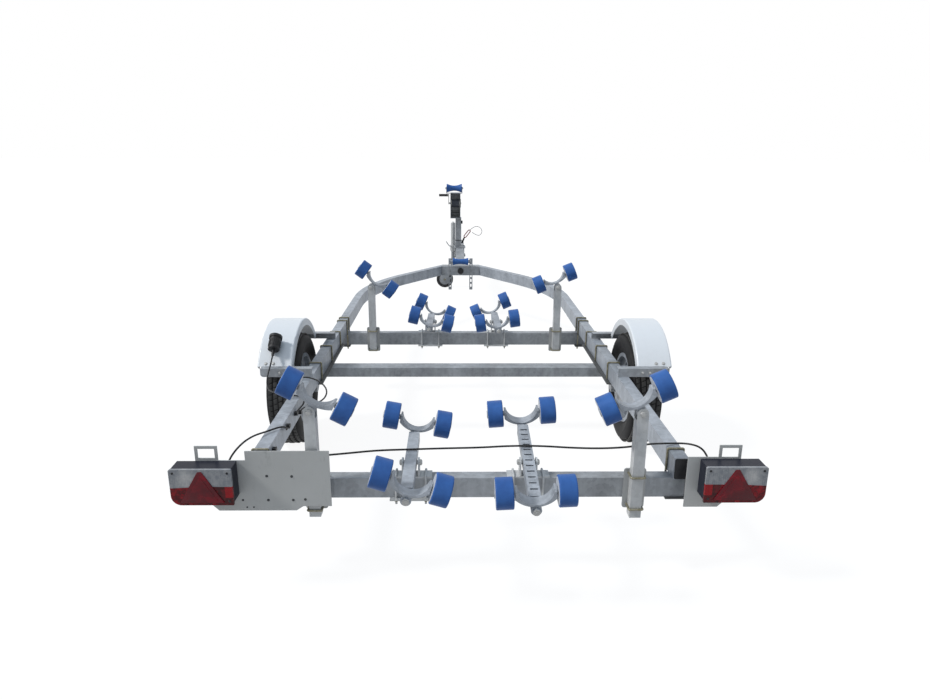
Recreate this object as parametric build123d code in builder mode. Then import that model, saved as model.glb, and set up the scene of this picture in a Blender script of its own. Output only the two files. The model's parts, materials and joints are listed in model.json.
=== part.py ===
"""A multi-roller boat trailer: a galvanised box-tube frame on one braked axle,
with pitching roller cradles, roller posts, a winch post and a jockey wheel.

Millimetres. +Y points forward to the coupling, +X to the right, +Z up. The origin lies
on the ground under the middle of the trailer, which stands level on its two road wheels
and the lowered jockey wheel.
"""
from build123d import *
from collections import namedtuple
from math import asin, cos, degrees, radians, sin, sqrt, tan
import os

os.makedirs("parts", exist_ok=True)

# ---------------------------------------------------------------- driving dimensions
LAMP_SPREAD = 1988.0          # outer edge to outer edge of the two rear lamps
FRAME_BOTTOM = 380.0          # underside of the rails above the ground

RAIL_WIDTH = 50.0
RAIL_HEIGHT = 80.0
TUBE_WALL = 3.0
RAIL_CENTRES = 1490.0         # between the centre lines of the two straight rails
RAIL_OVERHANG = 12.0          # behind the rear cross member
BEND_START_AT = 3132.0        # where the straight runs would meet, ahead of the rear member
BEND_RADIUS = 1475.0
BEND_ANGLE = 35.0             # of the converging run from straight ahead

MEMBER_DEPTH = 50.0           # of a cross member, fore and aft
MEMBER_HEIGHT = 75.0
MEMBER_HALF = 768.0           # half the length of a cross member
FRONT_MEMBER_AT = 1947.0      # rear face of the front member ahead of that of the rear one

NOSE_HALF = 165.0             # half the width of the nose beam between the rail ends
DRAWBAR_WIDTH = 80.0
COUPLING_REACH = 5660.0       # of the coupling's front ahead of the rear member
COUPLING_NOSE = 160.0         # of the coupling ahead of the drawbar's end

WHEEL_AT = 1205.0             # road wheel axis ahead of the rear member
TYRE_RADIUS = 289.0
TYRE_WIDTH = 155.0
RIM_RADIUS = 167.0
RIM_WIDTH = 114.0
TRACK = 1780.0
AXLE_AT = 1310.0              # centre of the axle tube ahead of the rear member
AXLE_DEPTH = 80.0
AXLE_HEIGHT = 50.0
AXLE_PLATE = 6.0
AXLE_PLATE_LENGTH = 700.0
SPINDLE_RADIUS = 16.0
DRUM_RADIUS = 115.0

GUARD_RADIUS = 362.0          # outer radius of a mudguard round the wheel axis
GUARD_WIDTH = 165.0
GUARD_OUTER_X = 985.0         # outer edge of a mudguard from the middle of the trailer
GUARD_SHEET = 3.0
GUARD_LIP = 36.0
GUARD_CORNER = 8.0
ANGLE_LEG = 40.0              # of the mudguard carriers
ANGLE_SHEET = 4.0
ANGLE_CORNER = 14.0           # rounding of a carrier's free end

BOLT_RADIUS = 4.0             # square U-bolts
BOLT_GAP = 0.3                # between a U-bolt and what it goes round
BOLT_BEND = 1.0               # inner corner radius of a U-bolt
BOLT_TAIL = 16.0              # of a leg below its plate
CLAMP_PLATE = 6.0
CLAMP_MARGIN = 20.0           # of a plate beyond the rail

POST_SIZE = 40.0
POST_LENGTH = 413.0
POST_EAR = 20.0               # rounded ears round the pivot bolt
POST_CUT = 24.0               # side walls end this far below the pivot
POST_PLATE_WIDTH = 78.0       # of the plate welded to the member behind a post's foot
POST_PLATE_HEIGHT = 153.0
POST_PLATE_CORNER = 9.0
POST_BOLTS = 122.0            # between the two U-bolts of a post

PIVOT_RADIUS = 8.0            # bolts that wishbones and arms swing on
PIVOT_GAP = 0.5               # between a bolt and its bore
PIVOT_HEAD = 8.0              # of a bolt beyond what it holds
BOSS_RADIUS = 18.0
ROLLER_RADIUS = 52.0
ROLLER_WIDTH = 58.0
ROLLER_SPACING = 200.0        # between the centres of the two rollers of a wishbone
ROLLER_EDGE = 4.0
STUB_RADIUS = 10.0
STUB_GAP = 0.4
WISHBONE_RISE = 58.0          # roller axis above the pivot
WISHBONE_DEPTH = 44.0
WISHBONE_SHEET = 7.0
HUB_GAP = 5.0                 # between a roller and the end of the wishbone
NECK_WIDTH = 24.0
POST_NECK = 27.0              # underside of the bowl above the pivot on a post
ARM_NECK = 15.0               # and on a cradle arm

ARM_SIZE = 40.0
ARM_REACH = 255.0             # pitch pivot to a wishbone's middle
REAR_PITCH = 8.0              # of the rear right arm, whose rear end hangs
ARM_GAP = 7.0                 # between an arm's end and the wishbone
EAR_SHEET = 6.0
EAR_GAP = 5.5                 # between an arm and the ears of its bracket
BRACKET_WIDTH = 150.0
BRACKET_SHEET = 6.0
BRACKET_BOLTS = 105.0         # between the two U-bolts of a cradle bracket

KEEL_ROLLER_HALF = 69.0
KEEL_ROLLER_RADIUS = 31.0
KEEL_ROLLER_WAIST = 22.0
KEEL_ROLLER_RISE = 45.0       # its axis above the nose beam
STRAP_WIDTH = 28.0
STRAP_SHEET = 6.0
STRAP_LENGTH = 281.0
STRAP_OFFSET = 93.0           # centre of a strap from the middle

WINCH_POST_SETBACK = 550.0    # of the winch post behind the coupling's front
WINCH_POST_X = -14.0
WINCH_POST_SIZE = 60.0
WINCH_HEAD_X = -45.0
WINCH_HEAD_WIDTH = 104.0
WINCH_HEAD_DEPTH = 110.0
WINCH_HEAD_BELOW = 150.0      # of the winch head below the winch's axis
WINCH_HEAD_ABOVE = 107.0
WINCH_SHEET = 4.0
WINCH_AXIS_HEIGHT = 915.0
DRUM_FLANGE = 46.0
CRANK_ARM = 82.0
CRANK_GRIP_RADIUS = 13.0
CRANK_GRIP_LENGTH = 96.0
BOW_ROLLER_X = -57.0
BOW_ROLLER_HALF = 78.0
BOW_ROLLER_RADIUS = 43.0
BOW_ROLLER_WAIST = 26.0
BOW_ROLLER_RISE = 155.0       # of its axis above the winch's axis
BOW_ROLLER_FORE = -34.0       # its axis from the middle of the winch head

JOCKEY_SETBACK = 400.0        # of the jockey wheel behind the coupling's front
JOCKEY_TUBE_RADIUS = 24.0
JOCKEY_WALL = 3.0
JOCKEY_TUBE_BOTTOM = 388.0
JOCKEY_TUBE_TOP = 690.0
JOCKEY_LEG_GAP = 1.0
JOCKEY_LEG_LENGTH = 285.0
JOCKEY_WHEEL_RADIUS = 90.0
JOCKEY_WHEEL_WIDTH = 50.0
JOCKEY_TRAIL = 90.0
JOCKEY_CLAMP_HEIGHT = 56.0
FORK_SHEET = 6.0
FORK_GAP = 6.0

BALL_RADIUS = 25.3            # socket for a 50 mm tow ball
BALL_HEIGHT = 418.0
COUPLING_WALL = 5.0

LAMP_WIDTH = 206.0
LAMP_HEIGHT = 130.0
Lamp = namedtuple("Lamp", "side top")
LAMPS = (Lamp(-1, 482.0), Lamp(1, 486.0))
LAMP_DEPTH = 64.0
LENS_DEPTH = 10.0
LAMP_CORNER = 34.0
PLATE_SHEET = 4.0
PLATE_AT = -58.0              # front face of the lamp plates ahead of the rear member
BOARD_RIGHT = -477.0
BOARD_STEP = -762.0
BOARD_TOP = 514.0
BOARD_BOTTOM = 290.0
PLUG_RADIUS = 27.0
CABLE_RADIUS = 3.5
WIRE_RADIUS = 2.5

# ---------------------------------------------------------------- derived places
ROLLER_OVERHANG = (               # of the lowest rear roller behind the rear cross member
    ARM_REACH * cos(radians(REAR_PITCH)) + WISHBONE_RISE * sin(radians(REAR_PITCH))
    + ROLLER_RADIUS - MEMBER_DEPTH / 2
)
REAR = (ROLLER_OVERHANG - COUPLING_REACH) / 2   # rear face of the rear cross member
FRAME_TOP = FRAME_BOTTOM + RAIL_HEIGHT
RAIL_X = RAIL_CENTRES / 2
RAIL_OUTER = RAIL_X + RAIL_WIDTH / 2
RAIL_Z = FRAME_BOTTOM + RAIL_HEIGHT / 2
MEMBER_BOTTOM = FRAME_BOTTOM - MEMBER_HEIGHT
FRONT = REAR + FRONT_MEMBER_AT
BEND_Y = REAR + BEND_START_AT
NOSE_DEPTH = RAIL_WIDTH / sin(radians(BEND_ANGLE)) + 12
NOSE_MIDDLE = BEND_Y + (RAIL_X - NOSE_HALF) / tan(radians(BEND_ANGLE))
NOSE_REAR = NOSE_MIDDLE - NOSE_DEPTH / 2
NOSE_FRONT = NOSE_MIDDLE + NOSE_DEPTH / 2
COUPLING_FRONT = REAR + COUPLING_REACH
DRAWBAR_END = COUPLING_FRONT - COUPLING_NOSE
WINCH_HEAD_BOTTOM = WINCH_AXIS_HEIGHT - WINCH_HEAD_BELOW
WINCH_HEAD_TOP = WINCH_AXIS_HEIGHT + WINCH_HEAD_ABOVE
BOW_ROLLER_HEIGHT = WINCH_AXIS_HEIGHT + BOW_ROLLER_RISE
WHEEL_Y = REAR + WHEEL_AT
WHEEL_X = TRACK / 2
AXLE_Y = REAR + AXLE_AT
AXLE_TOP = FRAME_BOTTOM - AXLE_PLATE
AXLE_Z = AXLE_TOP - AXLE_HEIGHT / 2
BORE = PIVOT_RADIUS + PIVOT_GAP
SIDES = (-1, 1)
SIDE_ALIGN = {-1: Align.MAX, 1: Align.MIN}


def save(part, name):
    """Label a finished piece and write it as its own STEP file."""
    part.part.label = name
    export_step(part.part, f"parts/{name}.step")


def tilted_plane(origin, pitch, tilt):
    """Plane across the trailer: X to the right, Y up and Z to the rear, pitched so that
    the front rises with a positive pitch, then tilted so that the right end rises."""
    across = Vector(1, 0, 0)
    up = Vector(0, -sin(radians(pitch)), cos(radians(pitch)))
    rearward = Vector(0, -cos(radians(pitch)), -sin(radians(pitch)))
    x_dir = across * cos(radians(tilt)) + up * sin(radians(tilt))
    return Plane(origin=origin, x_dir=x_dir, z_dir=rearward)


def box_tube(width, height, wall):
    """Sketch of a hollow rectangular section."""
    Rectangle(width, height)
    Rectangle(width - 2 * wall, height - 2 * wall, mode=Mode.SUBTRACT)


def square_bolt(plane, half, leg):
    """A square U-bolt in the plane's XY: its bar on X at +Y 0, its legs down along -Y."""
    reach = half + BOLT_GAP + BOLT_RADIUS
    top = BOLT_GAP + BOLT_RADIUS
    with BuildLine(plane) as route:
        FilletPolyline(
            (-reach, -leg), (-reach, top), (reach, top), (reach, -leg),
            radius=BOLT_BEND + BOLT_RADIUS,
        )
    with BuildSketch(Plane(origin=route.line @ 0, z_dir=route.line % 0)) as rod:
        Circle(BOLT_RADIUS)
    sweep(rod.sketch, path=route.line)


# ---------------------------------------------------------------- frame
with BuildPart() as side_rails:
    with BuildLine(Plane.XY.offset(RAIL_Z)) as rail_line:
        FilletPolyline(
            (RAIL_X, REAR - RAIL_OVERHANG),
            (RAIL_X, BEND_Y),
            (0, BEND_Y + RAIL_X / tan(radians(BEND_ANGLE))),
            radius=BEND_RADIUS,
        )
    with BuildSketch(Plane(origin=rail_line.line @ 0, x_dir=(1, 0, 0), z_dir=(0, 1, 0))):
        box_tube(RAIL_WIDTH, RAIL_HEIGHT, TUBE_WALL)
    sweep(path=rail_line.line)
    split(bisect_by=Plane.YZ.offset(NOSE_HALF), keep=Keep.TOP)
    mirror(about=Plane.YZ)
save(side_rails, "side_rails")

with BuildPart() as cross_members:
    for rear_face in (REAR, FRONT):
        middle = (rear_face + MEMBER_DEPTH / 2, FRAME_BOTTOM - MEMBER_HEIGHT / 2)
        with BuildSketch(Plane.YZ.offset(-MEMBER_HALF)):
            with Locations(middle):
                box_tube(MEMBER_DEPTH, MEMBER_HEIGHT, TUBE_WALL)
        extrude(amount=2 * MEMBER_HALF)
save(cross_members, "cross_members")

with BuildPart() as drawbar:
    with BuildSketch(Plane.YZ.offset(-NOSE_HALF)):
        with Locations((NOSE_MIDDLE, RAIL_Z)):
            box_tube(NOSE_DEPTH, RAIL_HEIGHT, TUBE_WALL)
    extrude(amount=2 * NOSE_HALF)
    with BuildSketch(Plane.XZ.offset(-NOSE_FRONT)):
        with Locations((0, RAIL_Z)):
            box_tube(DRAWBAR_WIDTH, RAIL_HEIGHT, TUBE_WALL)
    extrude(amount=-(DRAWBAR_END - NOSE_FRONT))
save(drawbar, "drawbar")

# ---------------------------------------------------------------- axle and wheels
AXLE_HALF = RAIL_OUTER - 4
ARM_SHEET = 26.0
ARM_ROOT_RADIUS = 24.0
ARM_TIP_RADIUS = 24.0
DRUM_INNER = WHEEL_X - 66.0       # open side of the brake drum
DRUM_OUTER = WHEEL_X - 14.0
BACKPLATE = 4.0
BACKPLATE_GAP = 5.0
DISC_SHEET = 6.0
HUB_RADIUS = 34.0
HUB_END = WHEEL_X + 26.0
SPINDLE_GAP = 0.5

with BuildPart() as axle_beam:
    with BuildSketch(Plane.YZ.offset(-AXLE_HALF)):
        with Locations((AXLE_Y, AXLE_Z)):
            box_tube(AXLE_DEPTH, AXLE_HEIGHT, 2 * TUBE_WALL)
    extrude(amount=2 * AXLE_HALF)
save(axle_beam, "axle_beam")

with BuildPart() as suspension_arms:
    with BuildSketch(Plane.YZ.offset(AXLE_HALF)):
        with Locations((AXLE_Y, AXLE_Z)):
            Circle(ARM_ROOT_RADIUS)
        with Locations((WHEEL_Y, TYRE_RADIUS)):
            Circle(ARM_TIP_RADIUS)
        make_hull()
    extrude(amount=ARM_SHEET)
    with BuildSketch(Plane.YZ.offset(AXLE_HALF)):
        with Locations((WHEEL_Y, TYRE_RADIUS)):
            Circle(SPINDLE_RADIUS)
    extrude(amount=HUB_END - 14 - AXLE_HALF)
    with BuildSketch(Plane.YZ.offset(DRUM_INNER - BACKPLATE_GAP - BACKPLATE)):
        with Locations((WHEEL_Y, TYRE_RADIUS)):
            Circle(DRUM_RADIUS)
    extrude(amount=BACKPLATE)
    mirror(about=Plane.YZ)
save(suspension_arms, "suspension_arms")


def wheel_plane(side):
    """Plane for a road wheel's section: X outward, Y radially up from the wheel axis."""
    return Plane(origin=(side * WHEEL_X, WHEEL_Y, TYRE_RADIUS), x_dir=(side, 0, 0), z_dir=(0, -side, 0))


def wheel_axis():
    """The line both road wheels turn on."""
    return Axis((0, WHEEL_Y, TYRE_RADIUS), (1, 0, 0))


BEAD_HALF = RIM_WIDTH / 2
TREAD_HALF = TYRE_WIDTH / 2 - 15
SIDE_BULGE = (RIM_RADIUS + TYRE_RADIUS) / 2
CROWN = 9.0                       # the tread falls this much to its edges
TREAD_EDGE = TYRE_RADIUS - CROWN
TYRE_WALL = 11.0
RIM_SHEET = 4.0
RIM_WELL = 22.0
RIM_WELL_HALF = 24.0
RIM_FLANGE = 14.0
BEAD_TOP = RIM_RADIUS + RIM_FLANGE + 1
VENT_RADIUS = 12.0
VENT_CIRCLE = 128.0
VENTS = 12

for side, name in ((-1, "left"), (1, "right")):
    with BuildPart() as tyre:
        with BuildSketch(wheel_plane(side)):
            with BuildLine():
                Line((-BEAD_HALF, RIM_RADIUS), (-BEAD_HALF, BEAD_TOP))
                ThreePointArc(
                    (-BEAD_HALF, BEAD_TOP), (-TYRE_WIDTH / 2, SIDE_BULGE), (-TREAD_HALF, TREAD_EDGE),
                )
                ThreePointArc((-TREAD_HALF, TREAD_EDGE), (0, TYRE_RADIUS), (TREAD_HALF, TREAD_EDGE))
                ThreePointArc(
                    (TREAD_HALF, TREAD_EDGE), (TYRE_WIDTH / 2, SIDE_BULGE), (BEAD_HALF, BEAD_TOP),
                )
                Polyline((BEAD_HALF, BEAD_TOP), (BEAD_HALF, RIM_RADIUS), (-BEAD_HALF, RIM_RADIUS))
            make_face()
            inner_half = BEAD_HALF - TYRE_WALL
            inner_bulge = TYRE_WIDTH / 2 - TYRE_WALL
            inner_tread = TREAD_HALF - TYRE_WALL
            ceiling = TREAD_EDGE - TYRE_WALL
            with BuildLine():
                ThreePointArc(
                    (-inner_half, RIM_RADIUS), (-inner_bulge, SIDE_BULGE), (-inner_tread, ceiling),
                )
                Line((-inner_tread, ceiling), (inner_tread, ceiling))
                ThreePointArc(
                    (inner_tread, ceiling), (inner_bulge, SIDE_BULGE), (inner_half, RIM_RADIUS),
                )
                Line((inner_half, RIM_RADIUS), (-inner_half, RIM_RADIUS))
            make_face(mode=Mode.SUBTRACT)
        revolve(axis=wheel_axis())
    save(tyre, f"{name}_tyre")

    with BuildPart() as rim:
        with BuildSketch(wheel_plane(side)):
            with BuildLine():
                Polyline(
                    (-BEAD_HALF - RIM_SHEET, RIM_RADIUS + RIM_FLANGE),
                    (-BEAD_HALF, RIM_RADIUS + RIM_FLANGE),
                    (-BEAD_HALF, RIM_RADIUS),
                    (-RIM_WELL_HALF - 8, RIM_RADIUS),
                    (-RIM_WELL_HALF, RIM_RADIUS - RIM_WELL),
                    (RIM_WELL_HALF, RIM_RADIUS - RIM_WELL),
                    (RIM_WELL_HALF + 8, RIM_RADIUS),
                    (BEAD_HALF, RIM_RADIUS),
                    (BEAD_HALF, RIM_RADIUS + RIM_FLANGE),
                    (BEAD_HALF + RIM_SHEET, RIM_RADIUS + RIM_FLANGE),
                    (BEAD_HALF + RIM_SHEET, RIM_RADIUS - RIM_SHEET),
                    (RIM_WELL_HALF + 8 + RIM_SHEET / 2, RIM_RADIUS - RIM_SHEET),
                    (RIM_WELL_HALF + RIM_SHEET / 2, RIM_RADIUS - RIM_WELL - RIM_SHEET),
                    (-RIM_WELL_HALF - RIM_SHEET / 2, RIM_RADIUS - RIM_WELL - RIM_SHEET),
                    (-RIM_WELL_HALF - 8 - RIM_SHEET / 2, RIM_RADIUS - RIM_SHEET),
                    (-BEAD_HALF - RIM_SHEET, RIM_RADIUS - RIM_SHEET),
                    close=True,
                )
            make_face()
            with Locations((DRUM_OUTER - WHEEL_X, 0)):
                Rectangle(
                    DISC_SHEET, RIM_RADIUS - RIM_WELL - RIM_SHEET / 2, align=(Align.MIN, Align.MIN),
                )
            with Locations((DRUM_INNER - WHEEL_X, 0)):
                Rectangle(DRUM_OUTER - DRUM_INNER, DRUM_RADIUS, align=(Align.MIN, Align.MIN))
            with Locations((DRUM_INNER - WHEEL_X, HUB_RADIUS)):
                Rectangle(
                    DRUM_OUTER - DRUM_INNER - DISC_SHEET, DRUM_RADIUS - HUB_RADIUS - 8,
                    align=(Align.MIN, Align.MIN), mode=Mode.SUBTRACT,
                )
            with Locations((DRUM_OUTER - WHEEL_X, 0)):
                Rectangle(HUB_END - DRUM_OUTER, HUB_RADIUS, align=(Align.MIN, Align.MIN))
            with Locations((DRUM_INNER - WHEEL_X, 0)):
                Rectangle(
                    HUB_END - 10 - DRUM_INNER, SPINDLE_RADIUS + SPINDLE_GAP,
                    align=(Align.MIN, Align.MIN), mode=Mode.SUBTRACT,
                )
        revolve(axis=wheel_axis())
        with BuildSketch(Plane.YZ.offset(side * DRUM_OUTER)):
            with Locations((WHEEL_Y, TYRE_RADIUS)):
                with PolarLocations(VENT_CIRCLE, VENTS):
                    Circle(VENT_RADIUS)
        extrude(amount=side * DISC_SHEET, mode=Mode.SUBTRACT)
    save(rim, f"{name}_rim")

# ---------------------------------------------------------------- mudguards
GUARD_INNER_X = GUARD_OUTER_X - GUARD_WIDTH
CARRIER_GAP = 0.3
CARRIER_TOP = FRAME_TOP + ANGLE_LEG
CARRIER_RISE = CARRIER_TOP - ANGLE_SHEET / 2 - TYRE_RADIUS
CARRIER_REACH = sqrt(GUARD_RADIUS ** 2 - CARRIER_RISE ** 2) + CARRIER_GAP   # from the wheel axis
CARRIER_INNER = RAIL_X - RAIL_WIDTH / 2
CARRIER_END = GUARD_OUTER_X - 24
GUARD_END_ANGLE = degrees(asin(CARRIER_RISE / GUARD_RADIUS))   # of each end above the wheel axis

start_angle = radians(GUARD_END_ANGLE)
with BuildPart() as mudguards:
    guard_plane = Plane(
        origin=(GUARD_INNER_X, WHEEL_Y, TYRE_RADIUS), x_dir=(1, 0, 0),
        z_dir=(0, -sin(start_angle), -cos(start_angle)),
    )
    with BuildSketch(guard_plane) as guard_section:
        with Locations((0, GUARD_RADIUS - GUARD_LIP)):
            Rectangle(GUARD_WIDTH, GUARD_LIP, align=(Align.MIN, Align.MIN))
        fillet(guard_section.vertices().group_by(Axis.Y)[-1], radius=GUARD_CORNER)
        with BuildSketch(mode=Mode.PRIVATE) as guard_hollow:
            with Locations((GUARD_SHEET, GUARD_RADIUS - GUARD_LIP - GUARD_SHEET)):
                Rectangle(GUARD_WIDTH - 2 * GUARD_SHEET, GUARD_LIP, align=(Align.MIN, Align.MIN))
            fillet(guard_hollow.vertices().group_by(Axis.Y)[-1], radius=GUARD_CORNER - GUARD_SHEET)
        add(guard_hollow.sketch, mode=Mode.SUBTRACT)
    revolve(
        axis=Axis((0, WHEEL_Y, TYRE_RADIUS), (-1, 0, 0)),
        revolution_arc=180 - 2 * GUARD_END_ANGLE,
    )
    mirror(about=Plane.YZ)
save(mudguards, "mudguards")

with BuildPart() as mudguard_brackets:
    for fore in (-1, 1):
        edge = WHEEL_Y + fore * CARRIER_REACH
        with BuildSketch(Plane.XY.offset(CARRIER_TOP - ANGLE_SHEET)):
            with Locations((CARRIER_INNER, edge)):
                Rectangle(
                    CARRIER_END - CARRIER_INNER, ANGLE_LEG, align=(Align.MIN, SIDE_ALIGN[fore]),
                )
        extrude(amount=ANGLE_SHEET)
        with BuildSketch(Plane.XZ.offset(-edge - fore * ANGLE_LEG)) as hanging_leg:
            with Locations((CARRIER_INNER, FRAME_TOP)):
                Rectangle(CARRIER_END - CARRIER_INNER, ANGLE_LEG, align=(Align.MIN, Align.MIN))
            low_corners = hanging_leg.vertices().group_by(Axis.Y)[0]
            fillet(low_corners.sort_by(Axis.X)[-1], radius=ANGLE_CORNER)
        extrude(amount=fore * ANGLE_SHEET)
    mirror(about=Plane.YZ)
save(mudguard_brackets, "mudguard_brackets")

# ---------------------------------------------------------------- rail clamps
LEG_REACH = BOLT_GAP + BOLT_RADIUS                 # centre of a U-bolt's rod beyond its piece
LEG_BORE = BOLT_RADIUS + BOLT_GAP
RailClamp = namedtuple("RailClamp", "y plate_top")
MEMBER_CLEAR = 12.0
RAIL_CLAMPS = (
    RailClamp(REAR + MEMBER_DEPTH + MEMBER_CLEAR, MEMBER_BOTTOM),
    RailClamp(AXLE_Y - 230, FRAME_BOTTOM),
    RailClamp(AXLE_Y + 70, FRAME_BOTTOM),
    RailClamp(AXLE_Y + 360, FRAME_BOTTOM),
    RailClamp(FRONT - MEMBER_CLEAR, MEMBER_BOTTOM),
    RailClamp(FRONT + MEMBER_DEPTH + MEMBER_CLEAR, MEMBER_BOTTOM),
)
ClampPlate = namedtuple("ClampPlate", "middle length top")
PLATE_MARGIN = 16.0
REAR_SPAN = MEMBER_DEPTH + MEMBER_CLEAR
FRONT_SPAN = MEMBER_DEPTH + 2 * (MEMBER_CLEAR + PLATE_MARGIN)
CLAMP_PLATES = (
    ClampPlate(REAR + REAR_SPAN / 2, REAR_SPAN + PLATE_MARGIN, MEMBER_BOTTOM),
    ClampPlate(AXLE_Y + 45, AXLE_PLATE_LENGTH, FRAME_BOTTOM),
    ClampPlate(FRONT + MEMBER_DEPTH / 2, FRONT_SPAN, MEMBER_BOTTOM),
)

with BuildPart() as rail_clamps:
    for plate in CLAMP_PLATES:
        with BuildSketch(Plane.XY.offset(plate.top - CLAMP_PLATE)):
            with Locations((RAIL_X, plate.middle)):
                Rectangle(RAIL_WIDTH + 2 * CLAMP_MARGIN, plate.length)
        extrude(amount=CLAMP_PLATE)
    with BuildSketch(Plane.XY.offset(MEMBER_BOTTOM - CLAMP_PLATE)):
        for clamp in RAIL_CLAMPS:
            with Locations((RAIL_X, clamp.y)):
                with GridLocations(RAIL_WIDTH + 2 * LEG_REACH, 1, 2, 1):
                    Circle(LEG_BORE)
    extrude(amount=RAIL_HEIGHT + MEMBER_HEIGHT, mode=Mode.SUBTRACT)
    for clamp in RAIL_CLAMPS:
        square_bolt(
            Plane(origin=(RAIL_X, clamp.y, FRAME_TOP), x_dir=(1, 0, 0), z_dir=(0, -1, 0)),
            RAIL_WIDTH / 2,
            FRAME_TOP - clamp.plate_top + CLAMP_PLATE + BOLT_TAIL,
        )
    mirror(about=Plane.YZ)
save(rail_clamps, "rail_clamps")

# ---------------------------------------------------------------- roller posts
Post = namedtuple("Post", "name x member pivot tilt")
POSTS = (
    Post("rear_left", -540.0, REAR, 648.0, -28.0),
    Post("rear_right", 586.0, REAR, 640.0, 24.5),
    Post("front_left", -556.0, FRONT, 676.0, -37.0),
    Post("front_right", 576.0, FRONT, 678.0, 22.5),
)
POST_SETBACK = CLAMP_PLATE + POST_SIZE / 2         # middle of a post behind its member
POST_INNER = POST_SIZE - 2 * TUBE_WALL

with BuildPart() as roller_posts:
    for post in POSTS:
        middle = post.member - POST_SETBACK
        foot = post.pivot + POST_EAR - POST_LENGTH
        with BuildSketch(Plane.XY.offset(foot)):
            with Locations((post.x, middle)):
                box_tube(POST_SIZE, POST_SIZE, TUBE_WALL)
        extrude(amount=post.pivot - POST_CUT - foot)
        for wall in (middle - POST_SIZE / 2 + TUBE_WALL, middle + POST_SIZE / 2):
            with BuildSketch(Plane.XZ.offset(-wall)):
                with Locations((post.x, post.pivot)):
                    Circle(POST_EAR)
                with Locations((post.x, post.pivot - POST_CUT)):
                    Rectangle(POST_SIZE, POST_CUT, align=(Align.CENTER, Align.MIN))
            extrude(amount=TUBE_WALL)
        with BuildSketch(Plane.XZ.offset(-middle - POST_SIZE / 2 - PIVOT_HEAD)):
            with Locations((post.x, post.pivot)):
                Circle(PIVOT_RADIUS)
        extrude(amount=POST_SIZE + 2 * PIVOT_HEAD)
save(roller_posts, "roller_posts")

MEMBER_Z = FRAME_BOTTOM - MEMBER_HEIGHT / 2
with BuildPart() as post_clamps:
    for post in POSTS:
        with BuildSketch(Plane.XZ.offset(-post.member)):
            with Locations((post.x, MEMBER_Z)):
                RectangleRounded(POST_PLATE_WIDTH, POST_PLATE_HEIGHT, POST_PLATE_CORNER)
                with GridLocations(POST_SIZE + 2 * LEG_REACH, POST_BOLTS, 2, 2):
                    Circle(LEG_BORE, mode=Mode.SUBTRACT)
        extrude(amount=CLAMP_PLATE)
        post_rear = post.member - POST_SETBACK - POST_SIZE / 2
        for height in (MEMBER_Z - POST_BOLTS / 2, MEMBER_Z + POST_BOLTS / 2):
            square_bolt(
                Plane(origin=(post.x, post_rear, height), x_dir=(1, 0, 0), z_dir=(0, 0, -1)),
                POST_SIZE / 2,
                POST_SIZE + CLAMP_PLATE + BOLT_TAIL,
            )
save(post_clamps, "post_clamps")

# ---------------------------------------------------------------- wishbones and rollers
INNER_FACE = ROLLER_SPACING / 2 - ROLLER_WIDTH / 2
OUTER_FACE = ROLLER_SPACING / 2 + ROLLER_WIDTH / 2
WISHBONE_TIP = INNER_FACE - HUB_GAP
TIP_HALF = STUB_RADIUS + 4        # half the height of a wishbone's end
WASHER_RADIUS = 15.0
WASHER_SHEET = 2.5
SIDE_GAP = 1.0


def stub_plane(plane):
    """Plane across the roller axis of a wishbone, facing right along the axis."""
    centre = plane.from_local_coords(Vector(0, WISHBONE_RISE, 0))
    return Plane(origin=centre, x_dir=plane.z_dir, z_dir=plane.x_dir)


def make_wishbone(plane, neck, boss_length):
    """A bowl-shaped channel on a fore-and-aft boss, with a stub axle at each end."""
    belly = neck + WISHBONE_SHEET
    low, high = WISHBONE_RISE - TIP_HALF, WISHBONE_RISE + TIP_HALF
    inner_tip = WISHBONE_TIP - WISHBONE_SHEET
    with BuildSketch(plane.offset(-WISHBONE_DEPTH / 2)) as bowl:
        with BuildLine():
            ThreePointArc((-WISHBONE_TIP, low), (0, neck), (WISHBONE_TIP, low))
            Polyline((WISHBONE_TIP, low), (WISHBONE_TIP, high), (inner_tip, high))
            ThreePointArc((inner_tip, high), (0, belly), (-inner_tip, high))
            Polyline((-inner_tip, high), (-WISHBONE_TIP, high), (-WISHBONE_TIP, low))
        make_face()
    extrude(bowl.sketch, amount=WISHBONE_DEPTH)
    with BuildSketch(plane.offset(-boss_length / 2)) as boss:
        Circle(BOSS_RADIUS)
        Rectangle(NECK_WIDTH, neck + WISHBONE_SHEET / 2, align=(Align.CENTER, Align.MIN))
        Circle(BORE, mode=Mode.SUBTRACT)
    extrude(boss.sketch, amount=boss_length)
    across = stub_plane(plane)
    washer_at = OUTER_FACE + SIDE_GAP
    for end in SIDES:
        with BuildSketch(across.offset(end * (WISHBONE_TIP - STUB_RADIUS))) as stub:
            Circle(STUB_RADIUS)
        extrude(stub.sketch, amount=end * (washer_at + WASHER_SHEET - WISHBONE_TIP + STUB_RADIUS))
        with BuildSketch(across.offset(end * washer_at)) as washer:
            Circle(WASHER_RADIUS)
        extrude(washer.sketch, amount=end * WASHER_SHEET)


def make_roller_pair(plane):
    """Two rubber rollers on one axis, either side of a wishbone."""
    for start in (-OUTER_FACE, INNER_FACE):
        with BuildSketch(stub_plane(plane).offset(start)) as roller:
            Circle(ROLLER_RADIUS)
            Circle(STUB_RADIUS + STUB_GAP, mode=Mode.SUBTRACT)
        extrude(roller.sketch, amount=ROLLER_WIDTH)


def rim_edges(part, radius):
    """The circular edges of one radius."""
    circles = part.edges().filter_by(GeomType.CIRCLE)
    return circles.filter_by(lambda edge: abs(edge.radius - radius) < 0.01)


with BuildPart() as post_wishbone:
    make_wishbone(Plane.XY, POST_NECK, POST_INNER - 2 * PIVOT_GAP)

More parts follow.
